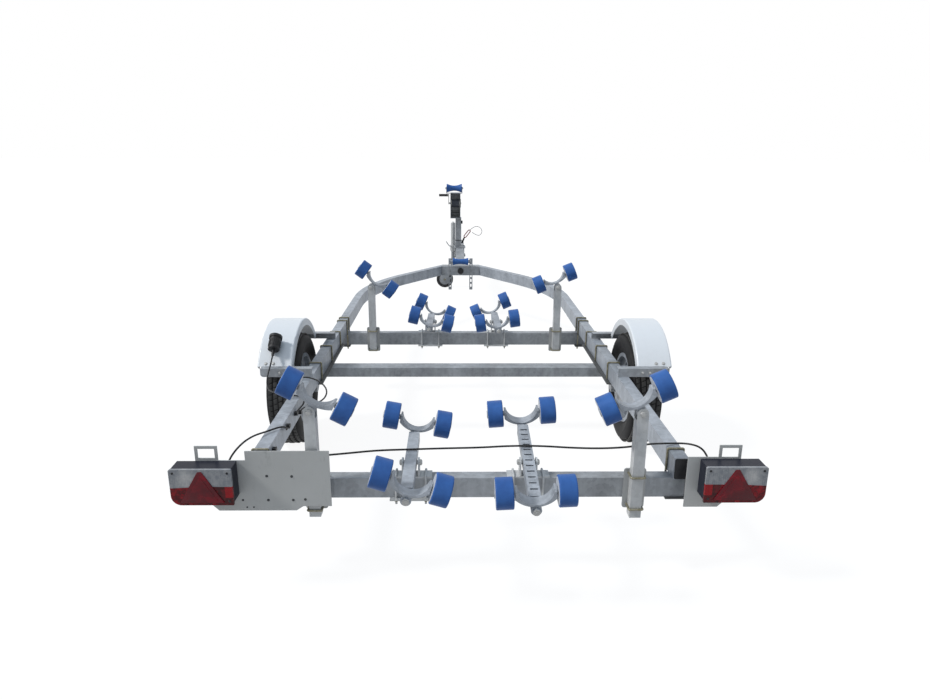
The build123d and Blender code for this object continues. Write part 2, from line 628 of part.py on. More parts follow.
with BuildPart() as arm_wishbone:
    make_wishbone(Plane.XY, ARM_NECK, WISHBONE_DEPTH)

with BuildPart() as roller_pair:
    make_roller_pair(Plane.XY)
    fillet(rim_edges(roller_pair, ROLLER_RADIUS), radius=ROLLER_EDGE)


def save_wishbone(name, plane, pattern):
    """Write a wishbone and its pair of rollers, both set on a tilted plane."""
    with BuildPart() as wishbone:
        add(plane.from_local_coords(pattern.part))
    save(wishbone, f"{name}_wishbone")
    with BuildPart() as rollers:
        add(plane.from_local_coords(roller_pair.part))
    save(rollers, f"{name}_rollers")


for post in POSTS:
    pivot = (post.x, post.member - POST_SETBACK, post.pivot)
    save_wishbone(f"{post.name}_post", tilted_plane(pivot, 0, post.tilt), post_wishbone)

# ---------------------------------------------------------------- cradles
Cradle = namedtuple("Cradle", "name x member rise pitch fore_tilt aft_tilt slots")
CRADLES = (
    Cradle("rear_left", -206.0, REAR, 50.0, 0.0, -11.0, -17.0, 0),
    Cradle("rear_right", 210.0, REAR, 50.0, REAR_PITCH, 4.8, 3.0, 12),
    Cradle("front_left", -203.0, FRONT, 66.0, -5.2, -24.0, -14.5, 0),
    Cradle("front_right", 207.0, FRONT, 66.0, -3.1, 23.5, 8.5, 0),
)
ARM_END = ARM_REACH - WISHBONE_DEPTH / 2 - ARM_GAP
SLOT_LENGTH = 26.0
SLOT_WIDTH = 7.0
SLOT_PITCH = 34.0


def cradle_pivot(cradle):
    """Where a cradle arm pitches on its bracket."""
    return (cradle.x, cradle.member + MEMBER_DEPTH / 2, FRAME_BOTTOM + cradle.rise)


for cradle in CRADLES:
    arm_plane = tilted_plane(cradle_pivot(cradle), cradle.pitch, 0)
    with BuildPart() as arm:
        with BuildSketch(arm_plane.offset(-ARM_END)):
            box_tube(ARM_SIZE, ARM_SIZE, TUBE_WALL)
        extrude(amount=2 * ARM_END)
        for end in (-1, 1):
            with BuildSketch(arm_plane.offset(end * (ARM_END - TUBE_WALL))):
                Rectangle(ARM_SIZE, ARM_SIZE)
            extrude(amount=end * TUBE_WALL)
            with BuildSketch(arm_plane.offset(end * (ARM_END - TUBE_WALL))):
                Circle(PIVOT_RADIUS)
            extrude(amount=end * (WISHBONE_DEPTH + ARM_GAP + TUBE_WALL + SIDE_GAP + PIVOT_HEAD))
            with BuildSketch(arm_plane.offset(end * (ARM_REACH + WISHBONE_DEPTH / 2 + SIDE_GAP))):
                Circle(PIVOT_RADIUS + 5)
            extrude(amount=end * PIVOT_HEAD)
        bore_plane = Plane(origin=cradle_pivot(cradle), x_dir=(0, 1, 0), z_dir=(1, 0, 0))
        with BuildSketch(bore_plane.offset(-ARM_SIZE)):
            Circle(BORE)
        extrude(amount=2 * ARM_SIZE, mode=Mode.SUBTRACT)
        if cradle.slots:
            top_plane = Plane(
                origin=arm_plane.from_local_coords(Vector(0, ARM_SIZE / 2, 0)),
                x_dir=arm_plane.x_dir, z_dir=arm_plane.y_dir,
            )
            with BuildSketch(top_plane):
                with GridLocations(1, SLOT_PITCH, 1, cradle.slots):
                    Rectangle(SLOT_LENGTH, SLOT_WIDTH)
            extrude(amount=-TUBE_WALL, mode=Mode.SUBTRACT)
    save(arm, f"{cradle.name}_cradle_arm")
    for end, station, tilt in ((1, "fore", cradle.fore_tilt), (-1, "aft", cradle.aft_tilt)):
        tip = arm_plane.from_local_coords(Vector(0, 0, -end * ARM_REACH))
        save_wishbone(f"{cradle.name}_{station}", tilted_plane(tip, cradle.pitch, tilt), arm_wishbone)

EAR_HALF = 24.0
with BuildPart() as cradle_brackets:
    for cradle in CRADLES:
        x, y, z = cradle_pivot(cradle)
        with BuildSketch(Plane.XY.offset(FRAME_BOTTOM)):
            with Locations((x, y)):
                Rectangle(BRACKET_WIDTH, MEMBER_DEPTH)
        extrude(amount=BRACKET_SHEET)
        for side in SIDES:
            with BuildSketch(Plane.YZ.offset(x + side * (ARM_SIZE / 2 + EAR_GAP))):
                with Locations((y, z)):
                    Circle(BOSS_RADIUS)
                with Locations((y, FRAME_BOTTOM + BRACKET_SHEET)):
                    Rectangle(2 * EAR_HALF, 2, align=(Align.CENTER, Align.MIN))
                make_hull()
            extrude(amount=side * EAR_SHEET)
        pin_half = ARM_SIZE / 2 + EAR_GAP + EAR_SHEET + PIVOT_HEAD
        with BuildSketch(Plane.YZ.offset(x - pin_half)):
            with Locations((y, z)):
                Circle(PIVOT_RADIUS)
        extrude(amount=2 * pin_half)
        with BuildSketch(Plane.XY.offset(MEMBER_BOTTOM - CLAMP_PLATE)):
            with Locations((x, y)):
                Rectangle(BRACKET_WIDTH, MEMBER_DEPTH + 2 * PLATE_MARGIN)
                with GridLocations(BRACKET_BOLTS, MEMBER_DEPTH + 2 * LEG_REACH, 2, 2):
                    Circle(LEG_BORE, mode=Mode.SUBTRACT)
        extrude(amount=CLAMP_PLATE)
        for side in SIDES:
            square_bolt(
                Plane(
                    origin=(x + side * BRACKET_BOLTS / 2, y, FRAME_BOTTOM + BRACKET_SHEET),
                    x_dir=(0, 1, 0), z_dir=(1, 0, 0),
                ),
                MEMBER_DEPTH / 2,
                BRACKET_SHEET + MEMBER_HEIGHT + CLAMP_PLATE + BOLT_TAIL,
            )
save(cradle_brackets, "cradle_brackets")

# ---------------------------------------------------------------- keel roller
KEEL_Y = NOSE_REAR - STRAP_SHEET / 2
KEEL_Z = FRAME_TOP + KEEL_ROLLER_RISE
STRAP_TOP = KEEL_Z + STRAP_WIDTH
STRAP_SLOT = 30.0
STRAP_SLOT_WIDTH = 13.0
STRAP_SLOT_PITCH = 44.0
STRAP_SLOTS = 6


def turned_roller(plane, half, end_radius, waist_radius, bore):
    """A roller with a narrow waist, turned round the plane's X axis."""
    with BuildSketch(plane) as profile:
        with BuildLine():
            Polyline((-half, bore), (half, bore), (half, end_radius), (half - 8, end_radius))
            ThreePointArc((half - 8, end_radius), (0, waist_radius), (8 - half, end_radius))
            Polyline((8 - half, end_radius), (-half, end_radius), (-half, bore))
        make_face()
    revolve(profile.sketch, axis=Axis(plane.origin, plane.x_dir))


with BuildPart() as keel_roller_straps:
    with BuildSketch(Plane.XZ.offset(-NOSE_REAR)):
        for side in SIDES:
            with Locations((side * STRAP_OFFSET, STRAP_TOP - STRAP_LENGTH / 2)):
                Rectangle(STRAP_WIDTH, STRAP_LENGTH)
            with Locations((side * STRAP_OFFSET, STRAP_TOP - STRAP_LENGTH / 2 - STRAP_WIDTH / 2)):
                with GridLocations(1, STRAP_SLOT_PITCH, 1, STRAP_SLOTS - 1):
                    SlotOverall(STRAP_SLOT, STRAP_SLOT_WIDTH, rotation=90, mode=Mode.SUBTRACT)
    extrude(amount=STRAP_SHEET)
    for side in SIDES:
        ear_inner = side * (KEEL_ROLLER_HALF + SIDE_GAP)
        with BuildSketch(Plane.YZ.offset(ear_inner)):
            with Locations((KEEL_Y, KEEL_Z)):
                Circle(STRAP_WIDTH / 2)
        extrude(amount=side * (STRAP_OFFSET - KEEL_ROLLER_HALF - SIDE_GAP))
    with BuildSketch(Plane.YZ.offset(-STRAP_OFFSET)):
        with Locations((KEEL_Y, KEEL_Z)):
            Circle(PIVOT_RADIUS)
    extrude(amount=2 * STRAP_OFFSET)
save(keel_roller_straps, "keel_roller_straps")

with BuildPart() as keel_roller:
    turned_roller(
        Plane(origin=(0, KEEL_Y, KEEL_Z), x_dir=(1, 0, 0), z_dir=(0, -1, 0)),
        KEEL_ROLLER_HALF, KEEL_ROLLER_RADIUS, KEEL_ROLLER_WAIST, BORE,
    )
save(keel_roller, "keel_roller")

# ---------------------------------------------------------------- winch
WINCH_Y = COUPLING_FRONT - WINCH_POST_SETBACK
POST_BASE = 6.0
POST_BASE_WIDTH = 120.0
POST_BASE_LENGTH = 170.0
POST_BASE_BOLTS = 130.0
HEAD_LEFT = WINCH_HEAD_X - WINCH_HEAD_WIDTH / 2
HEAD_RIGHT = WINCH_HEAD_X + WINCH_HEAD_WIDTH / 2
HEAD_REAR = WINCH_Y - WINCH_HEAD_DEPTH / 2
BOW_Y = WINCH_Y + BOW_ROLLER_FORE
BOW_EAR = 15.0
BOW_SHELF = 44.0
SHAFT_RADIUS = 9.0
CAP_RIGHT = WINCH_POST_X + WINCH_POST_SIZE / 2

with BuildPart() as winch_post:
    with BuildSketch(Plane.XY.offset(FRAME_TOP)):
        with Locations((0, WINCH_Y)):
            Rectangle(POST_BASE_WIDTH, POST_BASE_LENGTH)
            with GridLocations(DRAWBAR_WIDTH + 2 * LEG_REACH, POST_BASE_BOLTS, 2, 2):
                Circle(LEG_BORE, mode=Mode.SUBTRACT)
    extrude(amount=POST_BASE)
    with BuildSketch(Plane.XY.offset(FRAME_TOP + POST_BASE)):
        with Locations((WINCH_POST_X, WINCH_Y)):
            box_tube(WINCH_POST_SIZE, WINCH_POST_SIZE, TUBE_WALL)
    extrude(amount=WINCH_HEAD_BOTTOM - FRAME_TOP - POST_BASE)
    with BuildSketch(Plane.XY.offset(WINCH_HEAD_BOTTOM)):
        with Locations((HEAD_LEFT, HEAD_REAR)):
            Rectangle(CAP_RIGHT - HEAD_LEFT, WINCH_HEAD_DEPTH, align=(Align.MIN, Align.MIN))
    extrude(amount=WINCH_SHEET)
    with BuildSketch(Plane.XY.offset(WINCH_HEAD_BOTTOM + WINCH_SHEET)):
        with Locations((WINCH_HEAD_X, WINCH_Y)):
            Rectangle(WINCH_HEAD_WIDTH, WINCH_HEAD_DEPTH)
        with Locations((WINCH_HEAD_X, WINCH_Y - WINCH_SHEET)):
            Rectangle(WINCH_HEAD_WIDTH - 2 * WINCH_SHEET, WINCH_HEAD_DEPTH, mode=Mode.SUBTRACT)
    extrude(amount=WINCH_HEAD_TOP - WINCH_HEAD_BOTTOM - 2 * WINCH_SHEET)
    with BuildSketch(Plane.XY.offset(WINCH_HEAD_TOP - WINCH_SHEET)):
        with Locations((WINCH_HEAD_X, WINCH_Y)):
            Rectangle(WINCH_HEAD_WIDTH, WINCH_HEAD_DEPTH)
        with Locations((BOW_ROLLER_X, BOW_Y)):
            Rectangle(2 * (BOW_ROLLER_HALF + SIDE_GAP + WINCH_SHEET), BOW_SHELF)
    extrude(amount=WINCH_SHEET)
    for side in SIDES:
        with BuildSketch(Plane.YZ.offset(BOW_ROLLER_X + side * (BOW_ROLLER_HALF + SIDE_GAP))):
            with Locations((BOW_Y, BOW_ROLLER_HEIGHT)):
                Circle(BOW_EAR)
            with Locations((BOW_Y, WINCH_HEAD_TOP - WINCH_SHEET)):
                Rectangle(BOW_SHELF, WINCH_SHEET, align=(Align.CENTER, Align.MIN))
            make_hull()
        extrude(amount=side * WINCH_SHEET)
    bow_pin_half = BOW_ROLLER_HALF + SIDE_GAP + WINCH_SHEET + PIVOT_HEAD
    with BuildSketch(Plane.YZ.offset(BOW_ROLLER_X - bow_pin_half)):
        with Locations((BOW_Y, BOW_ROLLER_HEIGHT)):
            Circle(PIVOT_RADIUS)
    extrude(amount=2 * bow_pin_half)
    with BuildSketch(Plane.YZ.offset(HEAD_LEFT)):
        with Locations((WINCH_Y, WINCH_AXIS_HEIGHT)):
            Circle(SHAFT_RADIUS + PIVOT_GAP)
    extrude(amount=WINCH_HEAD_WIDTH, mode=Mode.SUBTRACT)
    with BuildSketch(Plane.XY.offset(FRAME_BOTTOM - CLAMP_PLATE)):
        with Locations((0, WINCH_Y)):
            Rectangle(POST_BASE_WIDTH, POST_BASE_LENGTH)
            with GridLocations(DRAWBAR_WIDTH + 2 * LEG_REACH, POST_BASE_BOLTS, 2, 2):
                Circle(LEG_BORE, mode=Mode.SUBTRACT)
    extrude(amount=CLAMP_PLATE)
    for fore in SIDES:
        square_bolt(
            Plane(
                origin=(0, WINCH_Y + fore * POST_BASE_BOLTS / 2, FRAME_TOP + POST_BASE),
                x_dir=(1, 0, 0), z_dir=(0, -1, 0),
            ),
            DRAWBAR_WIDTH / 2,
            POST_BASE + RAIL_HEIGHT + CLAMP_PLATE + BOLT_TAIL,
        )
save(winch_post, "winch_post")

DRUM_HALF = WINCH_HEAD_WIDTH / 2 - WINCH_SHEET - 6
STRAP_ROLL = 40.0
DRUM_SHEET = 3.0
CRANK_SHEET = 7.0
CRANK_WIDTH = 22.0
CRANK_GAP = 14.0
crank_face = HEAD_LEFT - CRANK_GAP

with BuildPart() as winch_drum:
    with BuildSketch(Plane.YZ.offset(WINCH_HEAD_X - DRUM_HALF)):
        with Locations((WINCH_Y, WINCH_AXIS_HEIGHT)):
            Circle(STRAP_ROLL)
    extrude(amount=2 * DRUM_HALF)
    for side in SIDES:
        with BuildSketch(Plane.YZ.offset(WINCH_HEAD_X + side * DRUM_HALF)):
            with Locations((WINCH_Y, WINCH_AXIS_HEIGHT)):
                Circle(DRUM_FLANGE)
        extrude(amount=-side * DRUM_SHEET)
    with BuildSketch(Plane.YZ.offset(crank_face - CRANK_SHEET)):
        with Locations((WINCH_Y, WINCH_AXIS_HEIGHT)):
            Circle(SHAFT_RADIUS)
    extrude(amount=HEAD_RIGHT + PIVOT_HEAD - crank_face + CRANK_SHEET)
    with BuildSketch(Plane.YZ.offset(crank_face)):
        with Locations((WINCH_Y, WINCH_AXIS_HEIGHT), (WINCH_Y, WINCH_AXIS_HEIGHT + CRANK_ARM)):
            Circle(CRANK_WIDTH / 2)
        make_hull()
    extrude(amount=-CRANK_SHEET)
    with BuildSketch(Plane.YZ.offset(crank_face - CRANK_SHEET)):
        with Locations((WINCH_Y, WINCH_AXIS_HEIGHT + CRANK_ARM)):
            Circle(CRANK_GRIP_RADIUS)
    extrude(amount=-CRANK_GRIP_LENGTH)
save(winch_drum, "winch_drum")

with BuildPart() as bow_roller:
    turned_roller(
        Plane(origin=(BOW_ROLLER_X, BOW_Y, BOW_ROLLER_HEIGHT), x_dir=(1, 0, 0), z_dir=(0, -1, 0)),
        BOW_ROLLER_HALF, BOW_ROLLER_RADIUS, BOW_ROLLER_WAIST, BORE,
    )
save(bow_roller, "bow_roller")

# ---------------------------------------------------------------- coupling
HEAD_RADIUS = 38.0
BALL_Y = COUPLING_FRONT - HEAD_RADIUS
SLEEVE_LENGTH = 100.0
SLEEVE_GAP = 0.3
SLEEVE_HALF = DRAWBAR_WIDTH / 2 + SLEEVE_GAP + COUPLING_WALL
COUPLING_TOP = FRAME_TOP + SLEEVE_GAP + COUPLING_WALL
SOCKET_DEPTH = 20.0
LEVER_Y = DRAWBAR_END + 44
LEVER_Z = COUPLING_TOP + 17
LEVER_HALF = 14.0
LEVER_SHEET = 6.0
LEVER_LENGTH = 150.0
LEVER_PIN = 5.0
LEVER_TILT = 9.0

with BuildPart() as coupling_head:
    with BuildSketch(Plane.XZ.offset(-DRAWBAR_END)):
        with Locations((0, BALL_HEIGHT - SOCKET_DEPTH)):
            Rectangle(
                2 * SLEEVE_HALF, COUPLING_TOP - BALL_HEIGHT + SOCKET_DEPTH,
                align=(Align.CENTER, Align.MIN),
            )
            Rectangle(
                DRAWBAR_WIDTH + 2 * SLEEVE_GAP, FRAME_TOP + SLEEVE_GAP - BALL_HEIGHT + SOCKET_DEPTH,
                align=(Align.CENTER, Align.MIN), mode=Mode.SUBTRACT,
            )
    extrude(amount=SLEEVE_LENGTH)
    with BuildSketch(Plane.XY.offset(BALL_HEIGHT - SOCKET_DEPTH)):
        with Locations((0, BALL_Y)):
            Circle(HEAD_RADIUS)
        with Locations((0, DRAWBAR_END)):
            Rectangle(2 * SLEEVE_HALF, 12, align=(Align.CENTER, Align.MIN))
        make_hull()
    extrude(amount=COUPLING_TOP - BALL_HEIGHT + SOCKET_DEPTH)
    with BuildSketch(Plane.XY.offset(BALL_HEIGHT - SOCKET_DEPTH)):
        with Locations((0, BALL_Y)):
            Circle(BALL_RADIUS)
    extrude(amount=SOCKET_DEPTH, mode=Mode.SUBTRACT)
    with Locations((0, BALL_Y, BALL_HEIGHT)):
        Sphere(BALL_RADIUS, mode=Mode.SUBTRACT)
    for side in SIDES:
        with BuildSketch(Plane.YZ.offset(side * (LEVER_HALF + SIDE_GAP))):
            with Locations((LEVER_Y, LEVER_Z)):
                Circle(LEVER_PIN + 5)
            with Locations((LEVER_Y, COUPLING_TOP)):
                Rectangle(28, 1, align=(Align.CENTER, Align.MIN))
            make_hull()
        extrude(amount=side * COUPLING_WALL)
    with BuildSketch(Plane.YZ.offset(-LEVER_HALF - SIDE_GAP)):
        with Locations((LEVER_Y, LEVER_Z)):
            Circle(LEVER_PIN)
    extrude(amount=2 * (LEVER_HALF + SIDE_GAP))
save(coupling_head, "coupling_head")

lever_plane = Plane(
    origin=(-LEVER_HALF, LEVER_Y, LEVER_Z),
    x_dir=(0, -cos(radians(LEVER_TILT)), sin(radians(LEVER_TILT))), z_dir=(-1, 0, 0),
)
with BuildPart() as coupling_lever:
    with BuildSketch(lever_plane):
        Circle(LEVER_PIN + 5)
        with Locations((LEVER_LENGTH, 0)):
            Circle(LEVER_SHEET)
        make_hull()
        Circle(LEVER_PIN + PIVOT_GAP, mode=Mode.SUBTRACT)
    extrude(amount=-2 * LEVER_HALF)
save(coupling_lever, "coupling_lever")

# ---------------------------------------------------------------- jockey wheel
JOCKEY_X = -(DRAWBAR_WIDTH / 2 + JOCKEY_TUBE_RADIUS + 6)
JOCKEY_Y = COUPLING_FRONT - JOCKEY_SETBACK
JOCKEY_WHEEL_X = JOCKEY_X - JOCKEY_TRAIL
LEG_RADIUS = JOCKEY_TUBE_RADIUS - JOCKEY_WALL - JOCKEY_LEG_GAP
FORK_CROWN = 2 * JOCKEY_WHEEL_RADIUS + 8           # underside of the fork's crown
LEG_BOTTOM = FORK_CROWN + FORK_SHEET + 2
CLAMP_RADIUS = JOCKEY_TUBE_RADIUS + 9
FORK_HALF = JOCKEY_WHEEL_WIDTH / 2 + FORK_GAP
JOCKEY_AXLE = 8.0
CRANK_REACH = 70.0
HANDLE_ROD = 5.0

with BuildPart() as jockey_tube:
    with BuildSketch(Plane.XY.offset(JOCKEY_TUBE_BOTTOM)):
        with Locations((JOCKEY_X, JOCKEY_Y)):
            Circle(JOCKEY_TUBE_RADIUS)
            Circle(JOCKEY_TUBE_RADIUS - JOCKEY_WALL, mode=Mode.SUBTRACT)
    extrude(amount=JOCKEY_TUBE_TOP - JOCKEY_TUBE_BOTTOM)
    with BuildSketch(Plane.XY.offset(JOCKEY_TUBE_TOP)):
        with Locations((JOCKEY_X, JOCKEY_Y)):
            Circle(JOCKEY_TUBE_RADIUS)
    extrude(amount=8)
    with BuildSketch(Plane.XY.offset(FRAME_TOP - JOCKEY_CLAMP_HEIGHT)):
        with Locations((JOCKEY_X, JOCKEY_Y)):
            Circle(CLAMP_RADIUS)
            Rectangle(-DRAWBAR_WIDTH / 2 - JOCKEY_X, 2 * CLAMP_RADIUS, align=(Align.MIN, Align.CENTER))
        with Locations((-DRAWBAR_WIDTH / 2, JOCKEY_Y)):
            Rectangle(
                DRAWBAR_WIDTH, 3 * CLAMP_RADIUS,
                align=(Align.MIN, Align.CENTER), mode=Mode.SUBTRACT,
            )
        with Locations((JOCKEY_X, JOCKEY_Y)):
            Circle(JOCKEY_TUBE_RADIUS - 1, mode=Mode.SUBTRACT)
    extrude(amount=JOCKEY_CLAMP_HEIGHT)
    with BuildLine() as clamp_handle:
        FilletPolyline(
            (JOCKEY_X, JOCKEY_Y - CLAMP_RADIUS + 4, FRAME_TOP - 14),
            (JOCKEY_X - 40, JOCKEY_Y - CLAMP_RADIUS - 8, FRAME_TOP - 4),
            (JOCKEY_X - 74, JOCKEY_Y - CLAMP_RADIUS - 8, FRAME_TOP + 44),
            radius=26,
        )
    with BuildSketch(Plane(origin=clamp_handle.line @ 0, z_dir=clamp_handle.line % 0)):
        Circle(HANDLE_ROD)
    sweep(path=clamp_handle.line)
    with BuildSketch(Plane.XY.offset(JOCKEY_TUBE_TOP + 8)):
        with Locations((JOCKEY_X, JOCKEY_Y), (JOCKEY_X, JOCKEY_Y + CRANK_REACH)):
            Circle(9)
        make_hull()
    extrude(amount=5)
    with BuildSketch(Plane.XY.offset(JOCKEY_TUBE_TOP + 13)):
        with Locations((JOCKEY_X, JOCKEY_Y + CRANK_REACH)):
            Circle(9)
    extrude(amount=-60)
save(jockey_tube, "jockey_tube")

with BuildPart() as jockey_leg:
    with BuildSketch(Plane.XY.offset(LEG_BOTTOM)):
        with Locations((JOCKEY_X, JOCKEY_Y)):
            Circle(LEG_RADIUS)
            Circle(LEG_RADIUS - JOCKEY_WALL, mode=Mode.SUBTRACT)
    extrude(amount=JOCKEY_LEG_LENGTH)
    with BuildSketch(Plane.XY.offset(LEG_BOTTOM)):
        with Locations((JOCKEY_X, JOCKEY_Y)):
            Circle(LEG_RADIUS)
    extrude(amount=JOCKEY_WALL)
    with BuildSketch(Plane.XY.offset(LEG_BOTTOM)):
        with Locations((JOCKEY_X, JOCKEY_Y)):
            Circle(JOCKEY_AXLE)
    extrude(amount=-FORK_SHEET - 6)
save(jockey_leg, "jockey_leg")

with BuildPart() as jockey_fork:
    with BuildSketch(Plane.XY.offset(FORK_CROWN)):
        with Locations((JOCKEY_X, JOCKEY_Y)):
            Circle(FORK_HALF + FORK_SHEET)
            Rectangle(JOCKEY_TRAIL * 0.7, 2 * (FORK_HALF + FORK_SHEET), align=(Align.MAX, Align.CENTER))
            Circle(JOCKEY_AXLE + PIVOT_GAP, mode=Mode.SUBTRACT)
    extrude(amount=FORK_SHEET)
    for side in SIDES:
        with BuildSketch(Plane.XZ.offset(-JOCKEY_Y - side * FORK_HALF)):
            with Locations((JOCKEY_WHEEL_X, JOCKEY_WHEEL_RADIUS)):
                Circle(JOCKEY_AXLE + 8)
            with Locations((JOCKEY_X, FORK_CROWN)):
                Rectangle(JOCKEY_TRAIL * 0.7, FORK_SHEET, align=(Align.MAX, Align.MIN))
            make_hull()
        extrude(amount=-side * FORK_SHEET)
    with BuildSketch(Plane.XZ.offset(-JOCKEY_Y - FORK_HALF)):
        with Locations((JOCKEY_WHEEL_X, JOCKEY_WHEEL_RADIUS)):
            Circle(JOCKEY_AXLE)
    extrude(amount=2 * FORK_HALF)
save(jockey_fork, "jockey_fork")

with BuildPart() as jockey_wheel:
    with BuildSketch(Plane.XZ.offset(-JOCKEY_Y - JOCKEY_WHEEL_WIDTH / 2)):
        with Locations((JOCKEY_WHEEL_X, JOCKEY_WHEEL_RADIUS)):
            Circle(JOCKEY_WHEEL_RADIUS)
            Circle(JOCKEY_AXLE + PIVOT_GAP, mode=Mode.SUBTRACT)
    extrude(amount=JOCKEY_WHEEL_WIDTH)
    fillet(rim_edges(jockey_wheel, JOCKEY_WHEEL_RADIUS), radius=9)
save(jockey_wheel, "jockey_wheel")

# ---------------------------------------------------------------- lamps and their plates
LAMP_BACK = REAR + PLATE_AT - PLATE_SHEET
HOUSING_INSET = 3.0
LAMP_CHAMFER = 6.0
OUTER_END = {-1: 0, 1: -1}        # place of a side's outermost corner in a list by X


def lamp_middle(lamp):
    """X and Z of the middle of a lamp."""
    return lamp.side * (LAMP_SPREAD - LAMP_WIDTH) / 2, lamp.top - LAMP_HEIGHT / 2


with BuildPart() as lamps:
    for lamp in LAMPS:
        with BuildSketch(Plane.XZ.offset(-LAMP_BACK)) as housing:
            with Locations(lamp_middle(lamp)):
                Rectangle(LAMP_WIDTH - 2 * HOUSING_INSET, LAMP_HEIGHT - 2 * HOUSING_INSET)
            low_corners = housing.vertices().group_by(Axis.Y)[0].sort_by(Axis.X)
            fillet(low_corners[OUTER_END[lamp.side]], radius=LAMP_CORNER - HOUSING_INSET)
        extrude(amount=LAMP_DEPTH)
        with BuildSketch(Plane.XZ.offset(-LAMP_BACK + LAMP_DEPTH)) as lens:
            with Locations(lamp_middle(lamp)):
                Rectangle(LAMP_WIDTH, LAMP_HEIGHT)
            low_corners = lens.vertices().group_by(Axis.Y)[0].sort_by(Axis.X)
            fillet(low_corners[OUTER_END[lamp.side]], radius=LAMP_CORNER)
            fillet(lens.vertices().group_by(Axis.Y)[-1], radius=LAMP_CHAMFER)
        extrude(amount=LENS_DEPTH)
save(lamps, "lamps")

LOOP_WIDTH = 77.0
LOOP_TOP = 533.0
LOOP_STRAP = 10.0
PLATE_TOP = 489.0
PLATE_LOW = 299.0
PLATE_INNER = 748.0
PLATE_STEP = 896.0
PLATE_CHAMFER = 30.0
PLATE_LAP = HOUSING_INSET + 6     # of a plate behind its lamp's lower edge
LOOP_FOOT = 20.0              # of a loop below the plate's top
BOARD_NOTCH = 16.0            # of the board's lower edge beside the rail
BOARD_NOTCH_WIDTH = 98.0
BOARD_NOTCH_SLOPE = 24.0
FLANGE_LENGTH = 98.0
left_lamp, right_lamp = LAMPS
left_outer = lamp_middle(left_lamp)[0] - LOOP_WIDTH / 2
right_outer = lamp_middle(right_lamp)[0] + LOOP_WIDTH / 2
left_shelf = left_lamp.top - LAMP_HEIGHT + PLATE_LAP
right_shelf = right_lamp.top - LAMP_HEIGHT + PLATE_LAP
notch_x, notch_z = BOARD_RIGHT - BOARD_NOTCH_WIDTH, BOARD_BOTTOM + BOARD_NOTCH

with BuildPart() as lamp_brackets:
    with BuildSketch(Plane.XZ.offset(-REAR - PLATE_AT)):
        with BuildLine():
            Polyline(
                (PLATE_INNER, PLATE_TOP), (PLATE_INNER, PLATE_LOW),
                (PLATE_STEP - PLATE_CHAMFER, PLATE_LOW), (PLATE_STEP, PLATE_LOW + PLATE_CHAMFER),
                (PLATE_STEP, right_shelf), (right_outer, right_shelf),
                (right_outer, PLATE_TOP), close=True,
            )
        make_face()
        with BuildLine():
            Polyline(
                (BOARD_STEP, BOARD_TOP), (BOARD_RIGHT, BOARD_TOP), (BOARD_RIGHT, notch_z),
                (notch_x, notch_z), (notch_x - BOARD_NOTCH_SLOPE, BOARD_BOTTOM),
                (PLATE_CHAMFER - PLATE_STEP, BOARD_BOTTOM), (-PLATE_STEP, BOARD_BOTTOM + PLATE_CHAMFER),
                (-PLATE_STEP, left_shelf), (left_outer, left_shelf),
                (left_outer, PLATE_TOP - PLATE_LAP), (BOARD_STEP, PLATE_TOP - PLATE_LAP), close=True,
            )
        make_face()
        for lamp in LAMPS:
            loop_x = lamp_middle(lamp)[0]
            with Locations((loop_x, LOOP_TOP)):
                Rectangle(
                    LOOP_WIDTH, LOOP_TOP - PLATE_TOP + LOOP_FOOT, align=(Align.CENTER, Align.MAX),
                )
            with Locations((loop_x, LOOP_TOP - LOOP_STRAP)):
                Rectangle(
                    LOOP_WIDTH - 2 * LOOP_STRAP, LOOP_TOP - LOOP_STRAP - PLATE_TOP,
                    align=(Align.CENTER, Align.MAX), mode=Mode.SUBTRACT,
                )
    extrude(amount=PLATE_SHEET)
    for side in SIDES:
        with BuildSketch(Plane.YZ.offset(side * RAIL_OUTER)):
            with Locations((REAR + PLATE_AT, RAIL_Z)):
                Rectangle(FLANGE_LENGTH, RAIL_HEIGHT - 10, align=(Align.MIN, Align.CENTER))
        extrude(amount=side * PLATE_SHEET)
save(lamp_brackets, "lamp_brackets")

# ---------------------------------------------------------------- wiring
GLAND_X = 845.0
GLAND_Z = 430.0
GLAND_RADIUS = 8.0
GLAND_LENGTH = 14.0
CLIP_LENGTH = 20.0
CLIP_DEPTH = 14.0
PLUG_LENGTH = 62.0
PLUG_CAP_LENGTH = 14.0
PLUG_CAP_RADIUS = 31.0


def ahead(x, distance, height):
    """A point given by its distance ahead of the rear cross member's rear face."""
    return Vector(x, REAR + distance, height)


def cord(points, radius):
    """A cord of straight runs joined by arcs as large as the runs allow."""
    radii = []
    for before, corner, after in zip(points, points[1:], points[2:]):
        run_in, run_out = corner - before, after - corner
        turn = radians(run_in.get_angle(run_out))
        radii.append(0.45 * min(run_in.length, run_out.length) / tan(turn / 2))
    with BuildLine() as route:
        FilletPolyline(*points, radius=radii)
    with BuildSketch(Plane(origin=route.line @ 0, z_dir=route.line % 0)) as section:
        Circle(radius)
    sweep(section.sketch, path=route.line)
    length = sum(edge.length for edge in route.line.edges())
    print(f"cord: length {length:.0f}, arc radii", *(f"{radius:.0f}" for radius in radii))


RAIL_INNER = RAIL_X - RAIL_WIDTH / 2
LAMP_GLAND_AT = PLATE_AT + GLAND_LENGTH
INNER_CLIP_X = -RAIL_INNER + CLIP_DEPTH / 2

